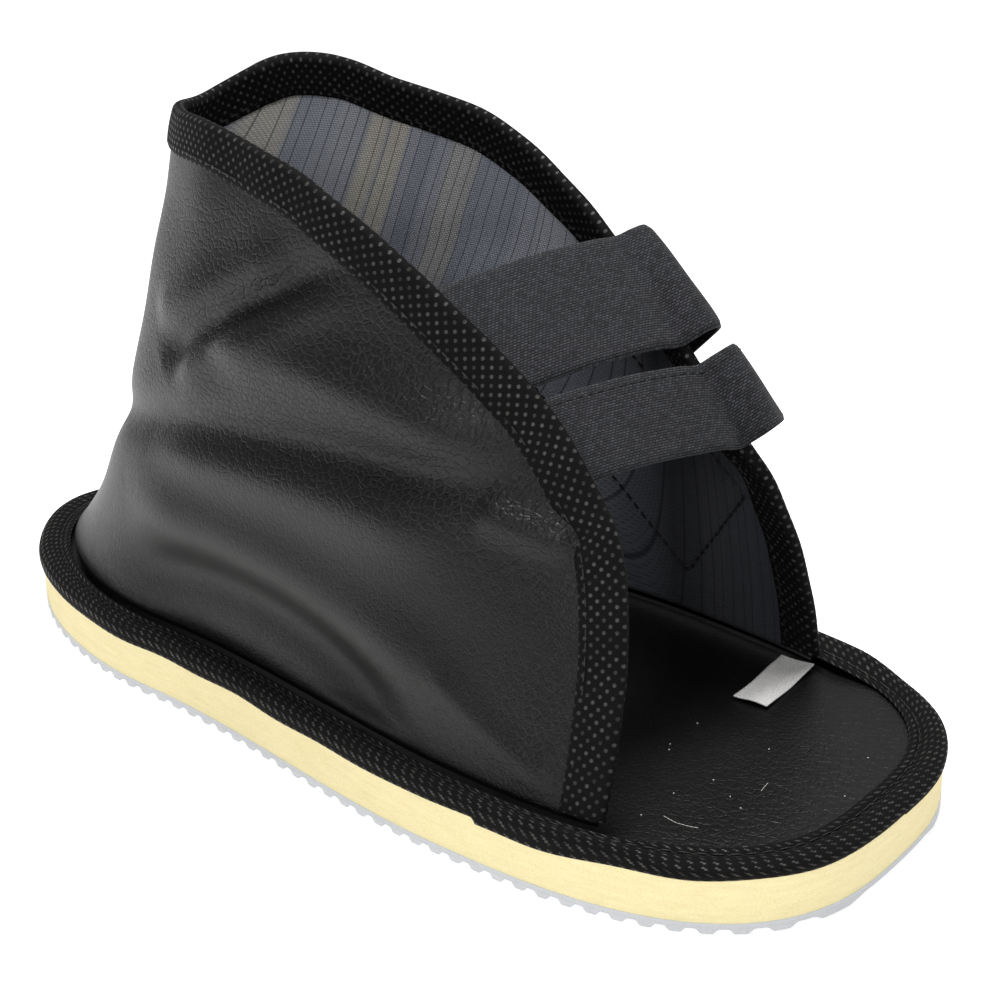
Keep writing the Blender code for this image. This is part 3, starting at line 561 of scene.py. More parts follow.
@dataclass
class Grid:
    """A surface on a grid of points, with a UV place for each and one finish."""

    points: np.ndarray
    uv: np.ndarray
    finish: int = 0
    closed: bool = False

    def quads(self) -> tuple[np.ndarray, np.ndarray]:
        """Corner indices of the cells, and the UV of each corner."""
        rows, columns = self.points.shape[:2]
        index = np.arange(rows * columns).reshape(rows, columns)
        uv = self.uv
        if self.closed:
            index = np.concatenate([index, index[:, :1]], axis=1)
            step = uv[:, -1:] * 2.0 - uv[:, -2:-1]
            uv = np.concatenate([uv, step], axis=1)
        corners = [index[:-1, :-1], index[:-1, 1:], index[1:, 1:], index[1:, :-1]]
        places = [uv[:-1, :-1], uv[:-1, 1:], uv[1:, 1:], uv[1:, :-1]]
        return np.stack(corners, -1).reshape(-1, 4), np.stack(places, -2).reshape(-1, 2)


def make_piece(name: str, grids: list[Grid], finishes: list[bpy.types.Material]) -> bpy.types.Object:
    """Join grids to one mesh object that rides on the shoe.

    Args:
        name: the piece's name.
        grids: its surfaces.
        finishes: its materials, in the order of the grids' finish numbers.

    Returns:
        The object.
    """
    points, faces, places, numbers, start = [], [], [], [], 0
    for grid in grids:
        quads, uv = grid.quads()
        points.append(grid.points.reshape(-1, 3))
        faces.append(quads + start)
        places.append(uv)
        numbers.append(np.full(len(quads), grid.finish))
        start += len(points[-1])
    mesh = bpy.data.meshes.new(name)
    mesh.from_pydata(np.concatenate(points).tolist(), [], np.concatenate(faces).tolist())
    mesh.uv_layers.new(name="surface").data.foreach_set("uv", np.concatenate(places).ravel())
    for finish in finishes:
        mesh.materials.append(finish)
    mesh.polygons.foreach_set("material_index", np.concatenate(numbers))
    mesh.shade_smooth()
    piece = bpy.data.objects.new(name, mesh)
    bpy.context.scene.collection.objects.link(piece)
    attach(piece, "root")
    LOG.info("%s: %d faces", name, len(mesh.polygons))
    return piece


def close_up(piece: bpy.types.Object, weld: float = 1e-6) -> None:
    """Merge doubled points, drop collapsed faces and turn all faces outward."""
    shape = bmesh.new()
    shape.from_mesh(piece.data)
    bmesh.ops.remove_doubles(shape, verts=shape.verts, dist=weld)
    bmesh.ops.dissolve_degenerate(shape, edges=shape.edges, dist=weld)
    bmesh.ops.recalc_face_normals(shape, faces=shape.faces)
    shape.to_mesh(piece.data)
    shape.free()


@dataclass(frozen=True)
class Sole:
    """Outsole, foam midsole and insole board: lofts across the sole's outline."""

    columns: int = 800
    tread_pitch: float = 0.006
    tread_depth: float = 0.0012

    def loft(self, low: np.ndarray, high: float, inset: float, across: int = 12) -> list[Grid]:
        """Closed slab: bottom, side walls and top over half-widths of the outline.

        The columns lie at even steps along the outline. A point across the slab
        is the half width times a share from -1 to 1, and the bottom's height is
        given for each column.
        """
        arc = np.linspace(0.0, 1.0, self.columns)
        edge = LAST.outline_at(arc, np.full(arc.shape, inset), np.zeros(arc.shape))
        edge[[0, -1], 1] = 0.0
        share = np.linspace(-1.0, 1.0, across)[:, None]
        x = np.broadcast_to(edge[:, 0], (across, self.columns))
        y = edge[:, 1] * share
        bottom = np.stack([x, y, np.broadcast_to(low, x.shape)], axis=-1)
        top = np.stack([x, y, np.full(x.shape, high)], axis=-1)
        wall = np.linspace(0.0, 1.0, 6)[:, None, None]
        near = bottom[:1] * (1 - wall) + top[:1] * wall
        far = bottom[-1:] * (1 - wall) + top[-1:] * wall
        grids = []
        for points in (bottom, top[::-1], near[::-1], far):
            grids.append(Grid(points, points[..., :2]))
        return grids

    def tread(self) -> np.ndarray:
        """Underside's height for each column: rounded grooves at the tread's pitch."""
        arc = np.linspace(0.0, 1.0, self.columns)
        x = LAST.outline_at(arc, np.zeros(arc.shape), np.zeros(arc.shape))[:, 0]
        wave = 0.5 + 0.5 * np.cos(2.0 * math.pi * x / self.tread_pitch)
        return self.tread_depth * smoothstep((wave - 0.25) / 0.6)

    def build(self) -> None:
        """Make and dress the three layers."""
        flat = np.zeros(self.columns)
        layers = (
            ("outsole", self.tread(), 0.0027, 0.0, TREAD),
            ("midsole", flat + 0.0027, 0.01425, 0.00005, FOAM),
            ("insole", flat + 0.0144, 0.0157, 0.0018, INSOLE_LEATHER),
        )
        for node, low, high, inset, finish in layers:
            piece = make_piece(node + "_dressed", self.loft(low, high, inset), [finish.build()])
            close_up(piece)
            piece.data.set_sharp_from_angle(angle=math.radians(40))
            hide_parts(node)
            if node == "insole":
                add_crease(piece, 0.35 + 0.45 * smoothstep((points_of(piece)[:, 0] - 0.085) / 0.03))


def slab(middle: np.ndarray, uv: np.ndarray, low: float, high: float, loop: bool = False) -> list[Grid]:
    """A sheet's two faces and its edges.

    Args:
        middle: rows and columns of points.
        uv: the surface coordinates of each point.
        low: place of the inner face along the sheet's normal, which is the rows'
            direction crossed with the columns'.
        high: place of the outer face.
        loop: whether the last column joins the first.

    Returns:
        Grids that close up to one solid sheet.
    """
    if loop:
        ring = np.concatenate([middle[:, -1:], middle, middle[:, :1]], axis=1)
        along = np.gradient(ring, axis=1)[:, 1:-1]
    else:
        along = np.gradient(middle, axis=1)
    outward = unit(np.cross(np.gradient(middle, axis=0), along))
    inner, outer = middle + outward * low, middle + outward * high
    grids = [Grid(outer, uv, closed=loop), Grid(inner[::-1], uv[::-1], closed=loop)]
    grids.append(Grid(np.stack([inner[0], outer[0]]), np.stack([uv[0], uv[0]]), closed=loop))
    grids.append(Grid(np.stack([outer[-1], inner[-1]]), np.stack([uv[-1], uv[-1]]), closed=loop))
    if not loop:
        for at, first, second in ((0, outer, inner), (-1, inner, outer)):
            grids.append(Grid(np.stack([first[:, at], second[:, at]], 1), np.stack([uv[:, at], uv[:, at]], 1)))
    return grids


def points_of(piece: bpy.types.Object) -> np.ndarray:
    """The mesh's points as an array."""
    points = np.empty(len(piece.data.vertices) * 3)
    piece.data.vertices.foreach_get("co", points)
    return points.reshape(-1, 3)


def add_crease(piece: bpy.types.Object, amount: np.ndarray) -> None:
    """Store how coarse the leather's cells are at each point."""
    layer = piece.data.attributes.new("crease", "FLOAT", "POINT")
    layer.data.foreach_set("value", np.clip(amount, 0.0, 1.0).astype(np.float32))


@dataclass(frozen=True)
class Upper:
    """The hollow upper: leather outside, knitted lining inside."""

    columns: int = 460
    rows: int = 96
    base_up: float = -0.012

    def stripe_place(self, point: np.ndarray) -> np.ndarray:
        """Distance across the lining's stripes, which lean forward at the collar."""
        lean = 0.47 * (1.0 - smoothstep((point[..., 0] + 0.010) / 0.070))
        return point[..., 0] - lean * (point[..., 2] - 0.125)

    def build(self) -> None:
        """Grid of arc and up: the outer face, and the inner face a wall behind it."""
        arc = np.linspace(-LAST.front_arc, LAST.front_arc, self.columns)[None, :]
        up = np.linspace(self.base_up, 1.0, self.rows)[:, None]
        arc, up = np.broadcast_arrays(arc, up)
        base, outward = LAST.skin(arc, np.maximum(up, 0.0)), LAST.normal(arc, np.maximum(up, 0.0))
        base = base + np.minimum(up, 0.0)[..., None] * np.array([0.0, 0.0, LAST.rise])
        lift = fold_lift(base, arc, up)
        outer = base + outward * lift[..., None]
        inner = base + outward * (lift * 0.8 - LAST.wall)[..., None]
        around = lengths_along(outer[self.rows // 2])[None, :] + np.zeros_like(up)
        stripe = np.where(base[..., 1] < 0.0, -self.stripe_place(base) - 0.2, self.stripe_place(base))
        outer_uv = np.stack([around, base[..., 2]], axis=-1)
        inner_uv = np.stack([stripe, base[..., 2]], axis=-1)
        grids = [Grid(outer, outer_uv), Grid(inner[::-1], inner_uv[::-1], 1)]
        for low, high in ((outer[-1:], inner[-1:]), (inner[:1], outer[:1])):
            strip = np.concatenate([low, high])
            grids.append(Grid(strip, strip[..., :2]))
        for first, second in ((inner[:, :1], outer[:, :1]), (outer[:, -1:], inner[:, -1:])):
            strip = np.concatenate([first, second], axis=1)
            grids.append(Grid(strip, strip[..., :2]))
        piece = make_piece("upper_shell", grids, [UPPER_LEATHER.build(), LINING.build()])
        close_up(piece)
        point = points_of(piece)
        high = smoothstep((point[:, 2] - 0.055) / 0.030) * (1.0 - smoothstep((point[:, 2] - 0.125) / 0.02))
        low_front = smoothstep((point[:, 0] - 0.045) / 0.03) * (1.0 - smoothstep((point[:, 2] - 0.035) / 0.02))
        add_crease(piece, 0.12 + 0.75 * high + 0.4 * low_front)
        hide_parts("upper")


@dataclass(frozen=True)
class RimTape:
    """Binding tape folded over the upper's free edge."""

    width: float = 0.0088
    steps: int = 760
    stand: float = 0.0004
    thick: float = 0.0006

    def edge(self) -> tuple[np.ndarray, np.ndarray]:
        """Arc and up at even steps along the free edge, near front foot to far."""
        front = LAST.front_arc
        climb = np.linspace(0.0, 1.0, 60)
        arc = np.concatenate([np.full(60, -front), np.linspace(-front, front, 900)[1:-1], np.full(60, front)])
        up = np.concatenate([climb, np.ones(898), climb[::-1]])
        far = lengths_along(LAST.skin(arc, up))
        even = np.linspace(0.0, far[-1], self.steps)
        return np.interp(even, far, arc), np.interp(even, far, up)

    def inside(self, arc: np.ndarray, up: np.ndarray, beyond: np.ndarray, depth: float) -> np.ndarray:
        """Points of the upper's face at a depth inside its edge, by stepping to the target."""
        target = LAST.skin(arc, up) - beyond * depth
        for _ in range(5):
            step = 1e-3
            here = LAST.skin(arc, up)
            low, high = np.maximum(arc - step, -LAST.front_arc), np.minimum(arc + step, LAST.front_arc)
            along = (LAST.skin(high, up) - LAST.skin(low, up)) / (high - low)[..., None]
            rising = (LAST.skin(arc, up + step) - LAST.skin(arc, up - step)) / (2 * step)
            slopes = np.stack([along, rising], axis=-1)
            turned = np.swapaxes(slopes, -1, -2)
            change = np.linalg.solve(turned @ slopes, turned @ (target - here)[..., None])[..., 0]
            arc = np.clip(arc + change[..., 0], -LAST.front_arc, LAST.front_arc)
            up = np.clip(up + change[..., 1], 0.0, 1.02)
        return LAST.skin(arc, up)

    def build(self) -> None:
        """Carry the folded section along the edge: outer leg, round fold, inner leg."""
        arc, up = self.edge()
        path = LAST.skin(arc, up)
        forward = unit(np.gradient(path, axis=0))
        outward = LAST.normal(arc, up)
        beyond = unit(np.cross(forward, outward))
        kernel = np.hanning(15) / np.hanning(15).sum()
        beyond = unit(np.stack([np.convolve(np.pad(beyond[:, k], 7, "edge"), kernel, "valid") for k in range(3)], 1))
        middle = self.inside(arc, up, beyond, self.width * 0.5) - path + beyond * self.width * 0.5
        along = lengths_along(path)
        slack = ripple(along / 0.030, along * 0.0, 11) * 0.22 * MM
        legs = np.linspace(1.0, 0.0, 9)
        turn = np.linspace(0.0, math.pi, 9)[1:-1]
        half = LAST.wall / 2.0 + self.stand + self.thick / 2.0
        rows, across = [], []
        for share in legs:
            bow = middle * 4.0 * share * (1.0 - share) + (middle * 2.0) * share * (2.0 * share - 1.0) * 2.0
            out = half - LAST.wall / 2.0 + 0.25 * MM * math.sin(math.pi * share)
            if share == 1.0:
                out = out - 0.45 * MM
            rows.append(path + bow - beyond * (self.width * share) + outward * (out + slack)[:, None])
            across.append(self.width * (1.0 - share))
        for angle in turn:
            rows.append(
                path + beyond * (math.sin(angle) * half * 1.15)
                + outward * (math.cos(angle) * half - LAST.wall / 2.0 + slack)[:, None]
            )
            across.append(self.width + angle * half)
        for share in legs[::-1]:
            bow = middle * 4.0 * share * (1.0 - share) + (middle * 2.0) * share * (2.0 * share - 1.0) * 2.0
            out = -half - LAST.wall / 2.0
            rows.append(path + bow - beyond * (self.width * share) + outward * (out + slack)[:, None])
            across.append(self.width + math.pi * half + self.width * share)
        points = np.stack(rows)
        uv = np.stack(np.broadcast_arrays(along[None, :], np.array(across)[:, None]), axis=-1)
        overlap = smoothstep((along - along[-1] * 0.533) / 0.0008) - smoothstep((along - along[-1] * 0.575) / 0.003)
        outside = np.stack([outward] * len(points)) * (overlap * 0.5 * MM)[None, :, None]
        sign = np.concatenate([np.ones(9), np.cos(turn), -np.ones(9)])[:, None, None]
        points = points + outside * sign
        half_thick = self.thick / 2.0
        sheet = slab(points, uv, -half_thick, half_thick)
        piece = make_piece("rim_tape", sheet, [TAPE.build()])
        close_up(piece)
        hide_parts("rim_binding")
        self.stitch(path, outward, beyond, middle)

    def stitch(self, path: np.ndarray, outward: np.ndarray, beyond: np.ndarray, middle: np.ndarray) -> None:
        """A row of stitches near the tape's inner edge, on both faces."""
        share = 0.82
        bow = middle * 4.0 * share * (1.0 - share) + (middle * 2.0) * share * (2.0 * share - 1.0) * 2.0
        base = path + bow - beyond * self.width * share
        out = self.stand + self.thick
        outer = stitches(base + outward * out, 0.0026, 0.0006)
        inner = stitches(base - outward * (LAST.wall + out), 0.0026, 0.0006)
        make_piece("rim_stitches", outer + inner, [THREAD.build()])


def stitches(path: np.ndarray, length: float, gap: float, radius: float = 0.00022) -> list[Grid]:
    """Short thread capsules laid end to end along a path.

    Each is a tube round its chord whose radius follows half an ellipse, with six
    sides and five rings.
    """
    far = lengths_along(path)
    starts = np.arange(0.0, far[-1] - length, length + gap)
    place = np.stack([np.interp(starts, far, path[:, axis]) for axis in range(3)], axis=1)
    finish = np.stack([np.interp(starts + length, far, path[:, axis]) for axis in range(3)], axis=1)
    axis = unit(finish - place)
    side = unit(np.cross(axis, np.array([0.13, 0.21, 0.97])))
    other = np.cross(axis, side)
    share = np.linspace(0.0, 1.0, 5)
    girth = radius * np.sqrt(np.clip(1.0 - (2.0 * share - 1.0) ** 4, 0.0, 1.0))
    turn = np.linspace(0.0, 2.0 * math.pi, 7)[:-1]
    grids = []
    rings = place[:, None, None] + (finish - place)[:, None, None] * share[None, :, None, None]
    offset = side[:, None, None] * np.cos(turn)[None, None, :, None] + other[:, None, None] * np.sin(turn)[None, None, :, None]
    points = rings + offset * girth[None, :, None, None]
    uv = np.zeros((len(share), len(turn), 2))
    for stitch in points:
        grids.append(Grid(stitch[::-1], uv, closed=True))
    return grids


@dataclass(frozen=True)
class SoleTape:
    """Binding tape round the sole's edge: a plump outer roll, a stitched groove and a lip."""

    columns: int = 1100
    width: float = 0.0085
    thick: float = 0.0006

    hem: float = 0.0140

    # Share of the way across, height over the tape's level in millimetres, and
    # share of the way down to the hem
    section: tuple = (
        (-0.06, 0.0, 1.0), (-0.09, 0.0, 0.72), (-0.08, 0.0, 0.42), (-0.02, 0.0, 0.18),
        (0.10, 0.1, 0.0), (0.24, 0.45, 0.0), (0.40, 0.45, 0.0), (0.54, 0.1, 0.0), (0.63, -0.35, 0.0),
        (0.70, -0.45, 0.0), (0.77, -0.12, 0.0), (0.86, 0.15, 0.0), (0.95, 0.0, 0.0), (1.0, -0.25, 0.0),
    )

    def build(self) -> None:
        """Carry the section round the outline, wider and higher where the upper stands."""
        arc = np.linspace(-1.0, 1.0, self.columns, endpoint=False)
        past = (np.abs(arc) - LAST.front_arc) * 0.330
        held = 1.0 - smoothstep((past - 0.0044) / 0.0176)
        level = 0.0157 + 0.0009 + held * 0.0017
        end = (LAST.foot_inset(arc) - 0.0014) * held + self.width * (1.0 - held)
        table = np.array(self.section)
        share = np.linspace(0.0, 1.0, 34)
        knots = np.linspace(0.0, 1.0, len(table))
        section = spline(knots, table, share)
        around = LAST.outline_at(arc, np.zeros(arc.shape), np.zeros(arc.shape))
        along = np.append(lengths_along(around), lengths_along(around)[-1] + np.linalg.norm(around[-1] - around[0]))
        waver = ripple(along[:-1] / 0.040, along[:-1] * 0.0, 23)
        sag = smoothstep((around[:, 0] - 0.0625) / 0.0008) * (around[:, 1] < 0.0)
        sag = sag * (1.0 - smoothstep((around[:, 0] - 0.075) / 0.035)) * 1.5 * MM
        rows = []
        for across, rise, low in section:
            inset = end * across + waver * 0.25 * MM * (1.0 - across)
            drop = level - self.hem + sag + waver[::-1] * 0.3 * MM
            height = level + rise * MM - drop * low
            rows.append(LAST.outline_at(arc, inset, height))
        points = np.stack(rows)
        over = lengths_along(points[:, 0])
        uv = np.stack(np.broadcast_arrays(along[None, :], over[:, None]), axis=-1)
        sheet = slab(points, uv, -self.thick, 0.0, loop=True)
        piece = make_piece("sole_tape", sheet, [TAPE.build()])
        close_up(piece)
        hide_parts("sole_binding")
        seam = LAST.outline_at(arc, end * 0.69, level - 0.25 * MM)
        make_piece("sole_stitches", stitches(seam, 0.0030, 0.0007), [THREAD.build()])


@dataclass(frozen=True)
class StrapRow:
    """One fold line across a strap, in shares of its width.

    side is -1 inside the near rim and +1 outside the far one, drop is the
    distance below the rim and stand the distance off the seat.
    """

    side: int
    drop: float
    stand: float


UPPER_STRAP_ROWS = (
    StrapRow(-1, 0.46, 0.00), StrapRow(-1, 0.30, 0.00), StrapRow(-1, 0.14, 0.00),
    StrapRow(1, 0.00, 0.00), StrapRow(1, 0.00, 0.16), StrapRow(1, 0.10, 0.25), StrapRow(1, 0.30, 0.17),
    StrapRow(1, 0.62, 0.02), StrapRow(1, 0.80, 0.00), StrapRow(1, 1.40, 0.00),
)
LOWER_STRAP_ROWS = (
    StrapRow(-1, 0.66, 0.00), StrapRow(-1, 0.43, 0.00), StrapRow(-1, 0.20, 0.00),
    StrapRow(1, 0.00, 0.00), StrapRow(1, 0.00, 0.24), StrapRow(1, 0.14, 0.37), StrapRow(1, 0.44, 0.31),
    StrapRow(1, 0.95, 0.04), StrapRow(1, 1.20, 0.00), StrapRow(1, 2.00, 0.00),
)


def slopes(arc: np.ndarray, up: np.ndarray) -> tuple[np.ndarray, np.ndarray]:
    """Change of the upper's outer face with arc and with up."""
    step = 1e-4
    low, high = np.maximum(arc - step, -LAST.front_arc), np.minimum(arc + step, LAST.front_arc)
    along = (LAST.skin(high, up) - LAST.skin(low, up)) / (high - low)[..., None]
    return along, (LAST.skin(arc, up + step) - LAST.skin(arc, up - step)) / (2.0 * step)


def place_on_skin(arc: np.ndarray, up: np.ndarray, target: np.ndarray) -> tuple[np.ndarray, np.ndarray]:
    """Arc and up of the point of the upper's face nearest to each target."""
    for _ in range(5):
        jacobian = np.stack(slopes(arc, up), axis=-1)
        turned = np.swapaxes(jacobian, -1, -2)
        change = np.linalg.solve(turned @ jacobian, turned @ (target - LAST.skin(arc, up))[..., None])[..., 0]
        arc = np.clip(arc + change[..., 0], -LAST.front_arc, LAST.front_arc)
        up = up + change[..., 1]
    return arc, up


def walk_on_skin(arc: np.ndarray, up: np.ndarray, heading: np.ndarray, far: float):
    """Walk a distance over the upper's face in 3 mm steps. Returns the new arc and up."""
    steps = max(1, round(far / 0.003))
    for _ in range(steps):
        outward = LAST.normal(arc, up)
        level = unit(heading - outward * np.sum(heading * outward, axis=-1, keepdims=True))
        arc, up = place_on_skin(arc, up, LAST.skin(arc, up) + level * far / steps)
    return arc, up


def far_rim(x: float) -> tuple[np.ndarray, np.ndarray, float]:
    """Arcs along the far rim, their distances along it, and the distance at x."""
    arc = np.linspace(0.0, LAST.front_arc, 400)
    rim = LAST.skin(arc, np.ones_like(arc))
    distance = lengths_along(rim)
    return arc, distance, float(np.interp(x, rim[:, 0], distance))


@dataclass(frozen=True)
class Strap:
    """A webbing strap, sewn inside the near rim and folded down over the far one.

    near and far are where its middle crosses the rims. crossings are the shares
    of the way over the foot at which it is held to its bow.
    """

    node: str
    rows: tuple[StrapRow, ...]
    near: float
    far: float
    width: float
    thick: float = 0.0018
    bow: float = 0.0015
    crossings: tuple[float, ...] = (0.15, 0.40, 0.65, 0.88)
    along: int = 170
    across: int = 22
    seam: bool = False

    def middle(self) -> np.ndarray:
        """Points of the middle surface, along by across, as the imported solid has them."""
        across = np.linspace(-self.width / 2.0, self.width / 2.0, 7)
        half = self.thick / 2.0
        inside = -(LAST.wall + 0.0006 + 0.0003 + 0.0005 + half)
        outside = 0.0014 + 0.0003 + 0.0005 + half
        above = 0.0003 + 0.0006 * 1.8 + 0.0005 + half

        def line(side: int, drop: float, stand: float) -> np.ndarray:
            """Points across the strap at one distance below or above the rim."""
            dense, distance, middle = far_rim(self.near if side < 0 else self.far)
            arc = np.interp(middle + across, distance, dense) * side
            up = np.ones_like(arc)
            edge, outward = LAST.skin(arc, up), LAST.normal(arc, up)
            beyond = unit(np.cross(slopes(arc, up)[0], outward))
            over = edge + beyond * above
            if drop <= 0.0:
                return over + outward * stand
            arc, up = walk_on_skin(arc, up, -beyond, drop)
            beside = LAST.skin(arc, up) + LAST.normal(arc, up) * (inside if side < 0 else outside + stand)
            turned = smoothstep(np.array(drop / (above + outside))) if side > 0 else 1.0
            return (over + outward * stand) * (1.0 - turned) + beside * turned

        near = [line(-1, row.drop * self.width, 0.0) for row in self.rows if row.side < 0]
        folds = np.array([(row.drop, row.stand) for row in self.rows if row.side > 0]) * self.width
        knots = lengths_along(folds)
        folds = spline(knots, folds, np.linspace(0.0, knots[-1], 15))
        far = [line(1, drop, max(stand, 0.0)) for drop, stand in folds]
        lift = np.array([0.0, 0.0, self.bow * 4.0])
        over = [near[-1] * (1 - t) + far[0] * t + lift * t * (1 - t) for t in self.crossings]
        lines = np.stack(near + over + far)
        knots = lengths_along(lines[:, 3])
        even = np.linspace(0.0, knots[-1], self.along)
        lines = spline(knots, lines.reshape(len(knots), -1), even).reshape(self.along, 7, 3)
        wide = np.swapaxes(lines, 0, 1).reshape(7, -1)
        fine = spline(np.linspace(0, 1, 7), wide, np.linspace(0, 1, self.across))
        return np.swapaxes(fine.reshape(self.across, self.along, 3), 0, 1)

    def build(self) -> None:
        """Give the middle surface the webbing's body, thinner at its selvedges."""
        middle = self.middle()
        far = lengths_along(middle[:, self.across // 2])
        across = np.linspace(0.0, self.width, self.across)
        uv = np.stack(np.broadcast_arrays(far[:, None], across[None, :]), axis=-1)
        outward = unit(np.cross(np.gradient(middle, axis=1), np.gradient(middle, axis=0)))
        wave = ripple(far[:, None] / 0.030, across[None, :] / 0.030, 31) * 0.35 * MM
        ends = smoothstep(np.minimum(far, far[-1] - far) / 0.02)[:, None]
        middle = middle + outward * (wave * ends)[..., None]
        side = np.abs(np.linspace(-1.0, 1.0, self.across))[None, :, None]
        plump = np.sqrt(np.clip(1.0 - np.maximum(side - 0.86, 0.0) ** 2 / 0.14**2 * 0.8, 0.0, 1.0))
        half = outward * self.thick / 2.0 * plump
        faces = [Grid(middle + half, uv), Grid((middle - half)[:, ::-1], uv[:, ::-1])]
        for at in (0, -1):
            strip = np.stack([(middle - half)[:, at], (middle + half)[:, at]], axis=1)
            faces.append(Grid(strip, np.stack([uv[:, at], uv[:, at]], axis=1)))
            strip = np.stack([(middle - half)[at], (middle + half)[at]])
            faces.append(Grid(strip, np.stack([uv[at], uv[at]])))
        piece = make_piece(self.node + "_webbing", faces, [WEBBING.build()])
        close_up(piece)
        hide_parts(self.node)
        if self.seam:
            self.sew(middle, half)

    def sew(self, middle: np.ndarray, half: np.ndarray) -> None:
        """A row of stitches along the strap, near its edge that lies higher."""
        top = middle + half * 1.05
        path = top[:, 2] if top[self.along // 2, 0, 2] > top[self.along // 2, -1, 2] else top[:, -3]
        make_piece(self.node + "_stitches", stitches(path, 0.0022, 0.0009), [THREAD.build()])


@dataclass(frozen=True)
class LoopPatch:
    """The brushed loop patch on the far side, with its border of stitches."""

    place: float = 0.0535
    drop: float = 0.0225
    length: float = 0.088
    width: float = 0.042
    thick: float = 0.0014

    def surface(self, rows: int = 13, columns: int = 21) -> np.ndarray:
        """Points of its inner face, walked out from its middle over the upper."""
        dense, distance, middle = far_rim(self.place)
        arc, up = np.interp([middle], distance, dense), np.ones(1)
        along = unit(slopes(arc, up)[0])
        beyond = unit(np.cross(along, LAST.normal(arc, up)))
        start = walk_on_skin(arc, up, -beyond, self.drop + self.width / 2.0)
        across = np.linspace(-self.width / 2.0, self.width / 2.0, rows)
        ahead = np.linspace(-self.length / 2.0, self.length / 2.0, columns)
        spine = [walk_on_skin(*start, beyond * math.copysign(1.0, far), abs(far)) for far in across]
        arcs = np.array([place[0] for place in spine])
        ups = np.array([place[1] for place in spine])
        lines = [walk_on_skin(arcs, ups, along * math.copysign(1.0, far), abs(far)) for far in ahead]
        arc = np.concatenate([line[0] for line in lines], axis=1)
        up = np.concatenate([line[1] for line in lines], axis=1)
        base = LAST.skin(arc, up)
        return base + LAST.normal(arc, up) * (0.0004 + fold_lift(base, arc, up)[..., None])

    def build(self) -> None:
        """Pile on the patch, and stitches 2.5 mm inside its edge."""
        base = self.surface()
        rows, columns = 60, 120
        fine = spline(np.linspace(0, 1, 13), base.reshape(13, -1), np.linspace(0, 1, rows)).reshape(rows, 21, 3)
        wide = np.swapaxes(fine, 0, 1).reshape(21, -1)
        fine = spline(np.linspace(0, 1, 21), wide, np.linspace(0, 1, columns)).reshape(columns, rows, 3)
        points = np.swapaxes(fine, 0, 1)
        u, v = np.meshgrid(np.linspace(0, self.length, columns), np.linspace(0, self.width, rows))
        sheet = slab(points, np.stack([u, v], axis=-1), 0.0, self.thick)
        piece = make_piece("loop_patch_pile", sheet, [LOOPS.build()])
        close_up(piece)
        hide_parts("loop_patch")
        top = sheet[0].points + (sheet[0].points - sheet[1].points[::-1]) * 0.02
        ring = np.concatenate([top[3, 3:-3], top[3:-3, -4], top[-4, 3:-3][::-1], top[3:-3, 3][::-1]])
        under = sheet[1].points[::-1]
        under = under - unit(sheet[0].points - under) * (0.0004 + LAST.wall + 0.0002)
        inner_ring = np.concatenate([under[3, 26:-3], under[3:-3, -4], under[-4, 26:-3][::-1], under[3:-3, 26][::-1]])
        seams = stitches(ring, 0.0026, 0.0008) + stitches(inner_ring, 0.0026, 0.0005, radius=0.0004)
        make_piece("patch_stitches", seams, [THREAD.build()])


@dataclass(frozen=True)
class LabelTab:
    """The blank tab on the insole: a thin woven slip with slightly lifted ends."""

    x: float = 0.0857
    y: float = 0.0305
    length: float = 0.0245
    width: float = 0.0092
    turn: float = math.radians(3)
    base: float = 0.0161

    def build(self) -> None:
        """A waved sheet 0.35 mm thick, turned with the label."""
        u, v = np.meshgrid(np.linspace(-0.5, 0.5, 60), np.linspace(-0.5, 0.5, 26))
        wave = 0.25 * MM * (1.0 + ripple(u * 1.2, v * 0.8, 7)) + 0.5 * MM * (2.0 * u) ** 4
        across, along = v * self.width, u * self.length
        x = self.x + across * math.cos(self.turn) - along * math.sin(self.turn)
        y = self.y + across * math.sin(self.turn) + along * math.cos(self.turn)
        middle = np.stack([x, y, self.base + wave], axis=-1)
        piece = make_piece("label_tab_sheet", slab(middle, np.stack([along, across], -1), -0.00018, 0.00018),
                           [TAB.build()])
        close_up(piece)
        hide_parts("label_tab")


@dataclass(frozen=True)
class Lint:
    """Specks and two short fibres on the insole, placed in millimetres."""

    specks: tuple = (
        (81, 3), (121, 13.5), (57, 8), (81.5, -9), (82.4, -11), (98, -16), (101, 3), (109, -22),
        (105, -19.5), (93, -37.5), (125, -4), (94, -26),
    )
    fibres: tuple = (
        ((97.2, -34.7), (100.9, -35.4), (104.3, -34.8), (106.9, -33.8)),
        ((108.5, -9.2), (108.9, -12.1), (109.2, -13.9)),
    )
    level: float = 0.01585

    def build(self) -> None:
        """A short thick capsule for each speck, a thin one for each fibre's span."""
        grids = []
        draw = np.random.default_rng(3)
        for x, y in self.specks:
            start = np.array([x * MM, y * MM, self.level])
            turn = draw.uniform(0.0, math.pi)
            end = start + np.array([math.cos(turn), math.sin(turn), 0.0]) * 0.0006
            grids += stitches(np.stack([start, end]), 0.0005, 0.001, radius=0.00016)
        for fibre in self.fibres:
            flat = np.array(fibre) * MM
            line = np.column_stack([flat, np.full(len(flat), self.level)])
            grids += stitches(line, 0.0012, -0.0002, radius=0.00008)
        make_piece("insole_lint", grids, [LINT.build()])


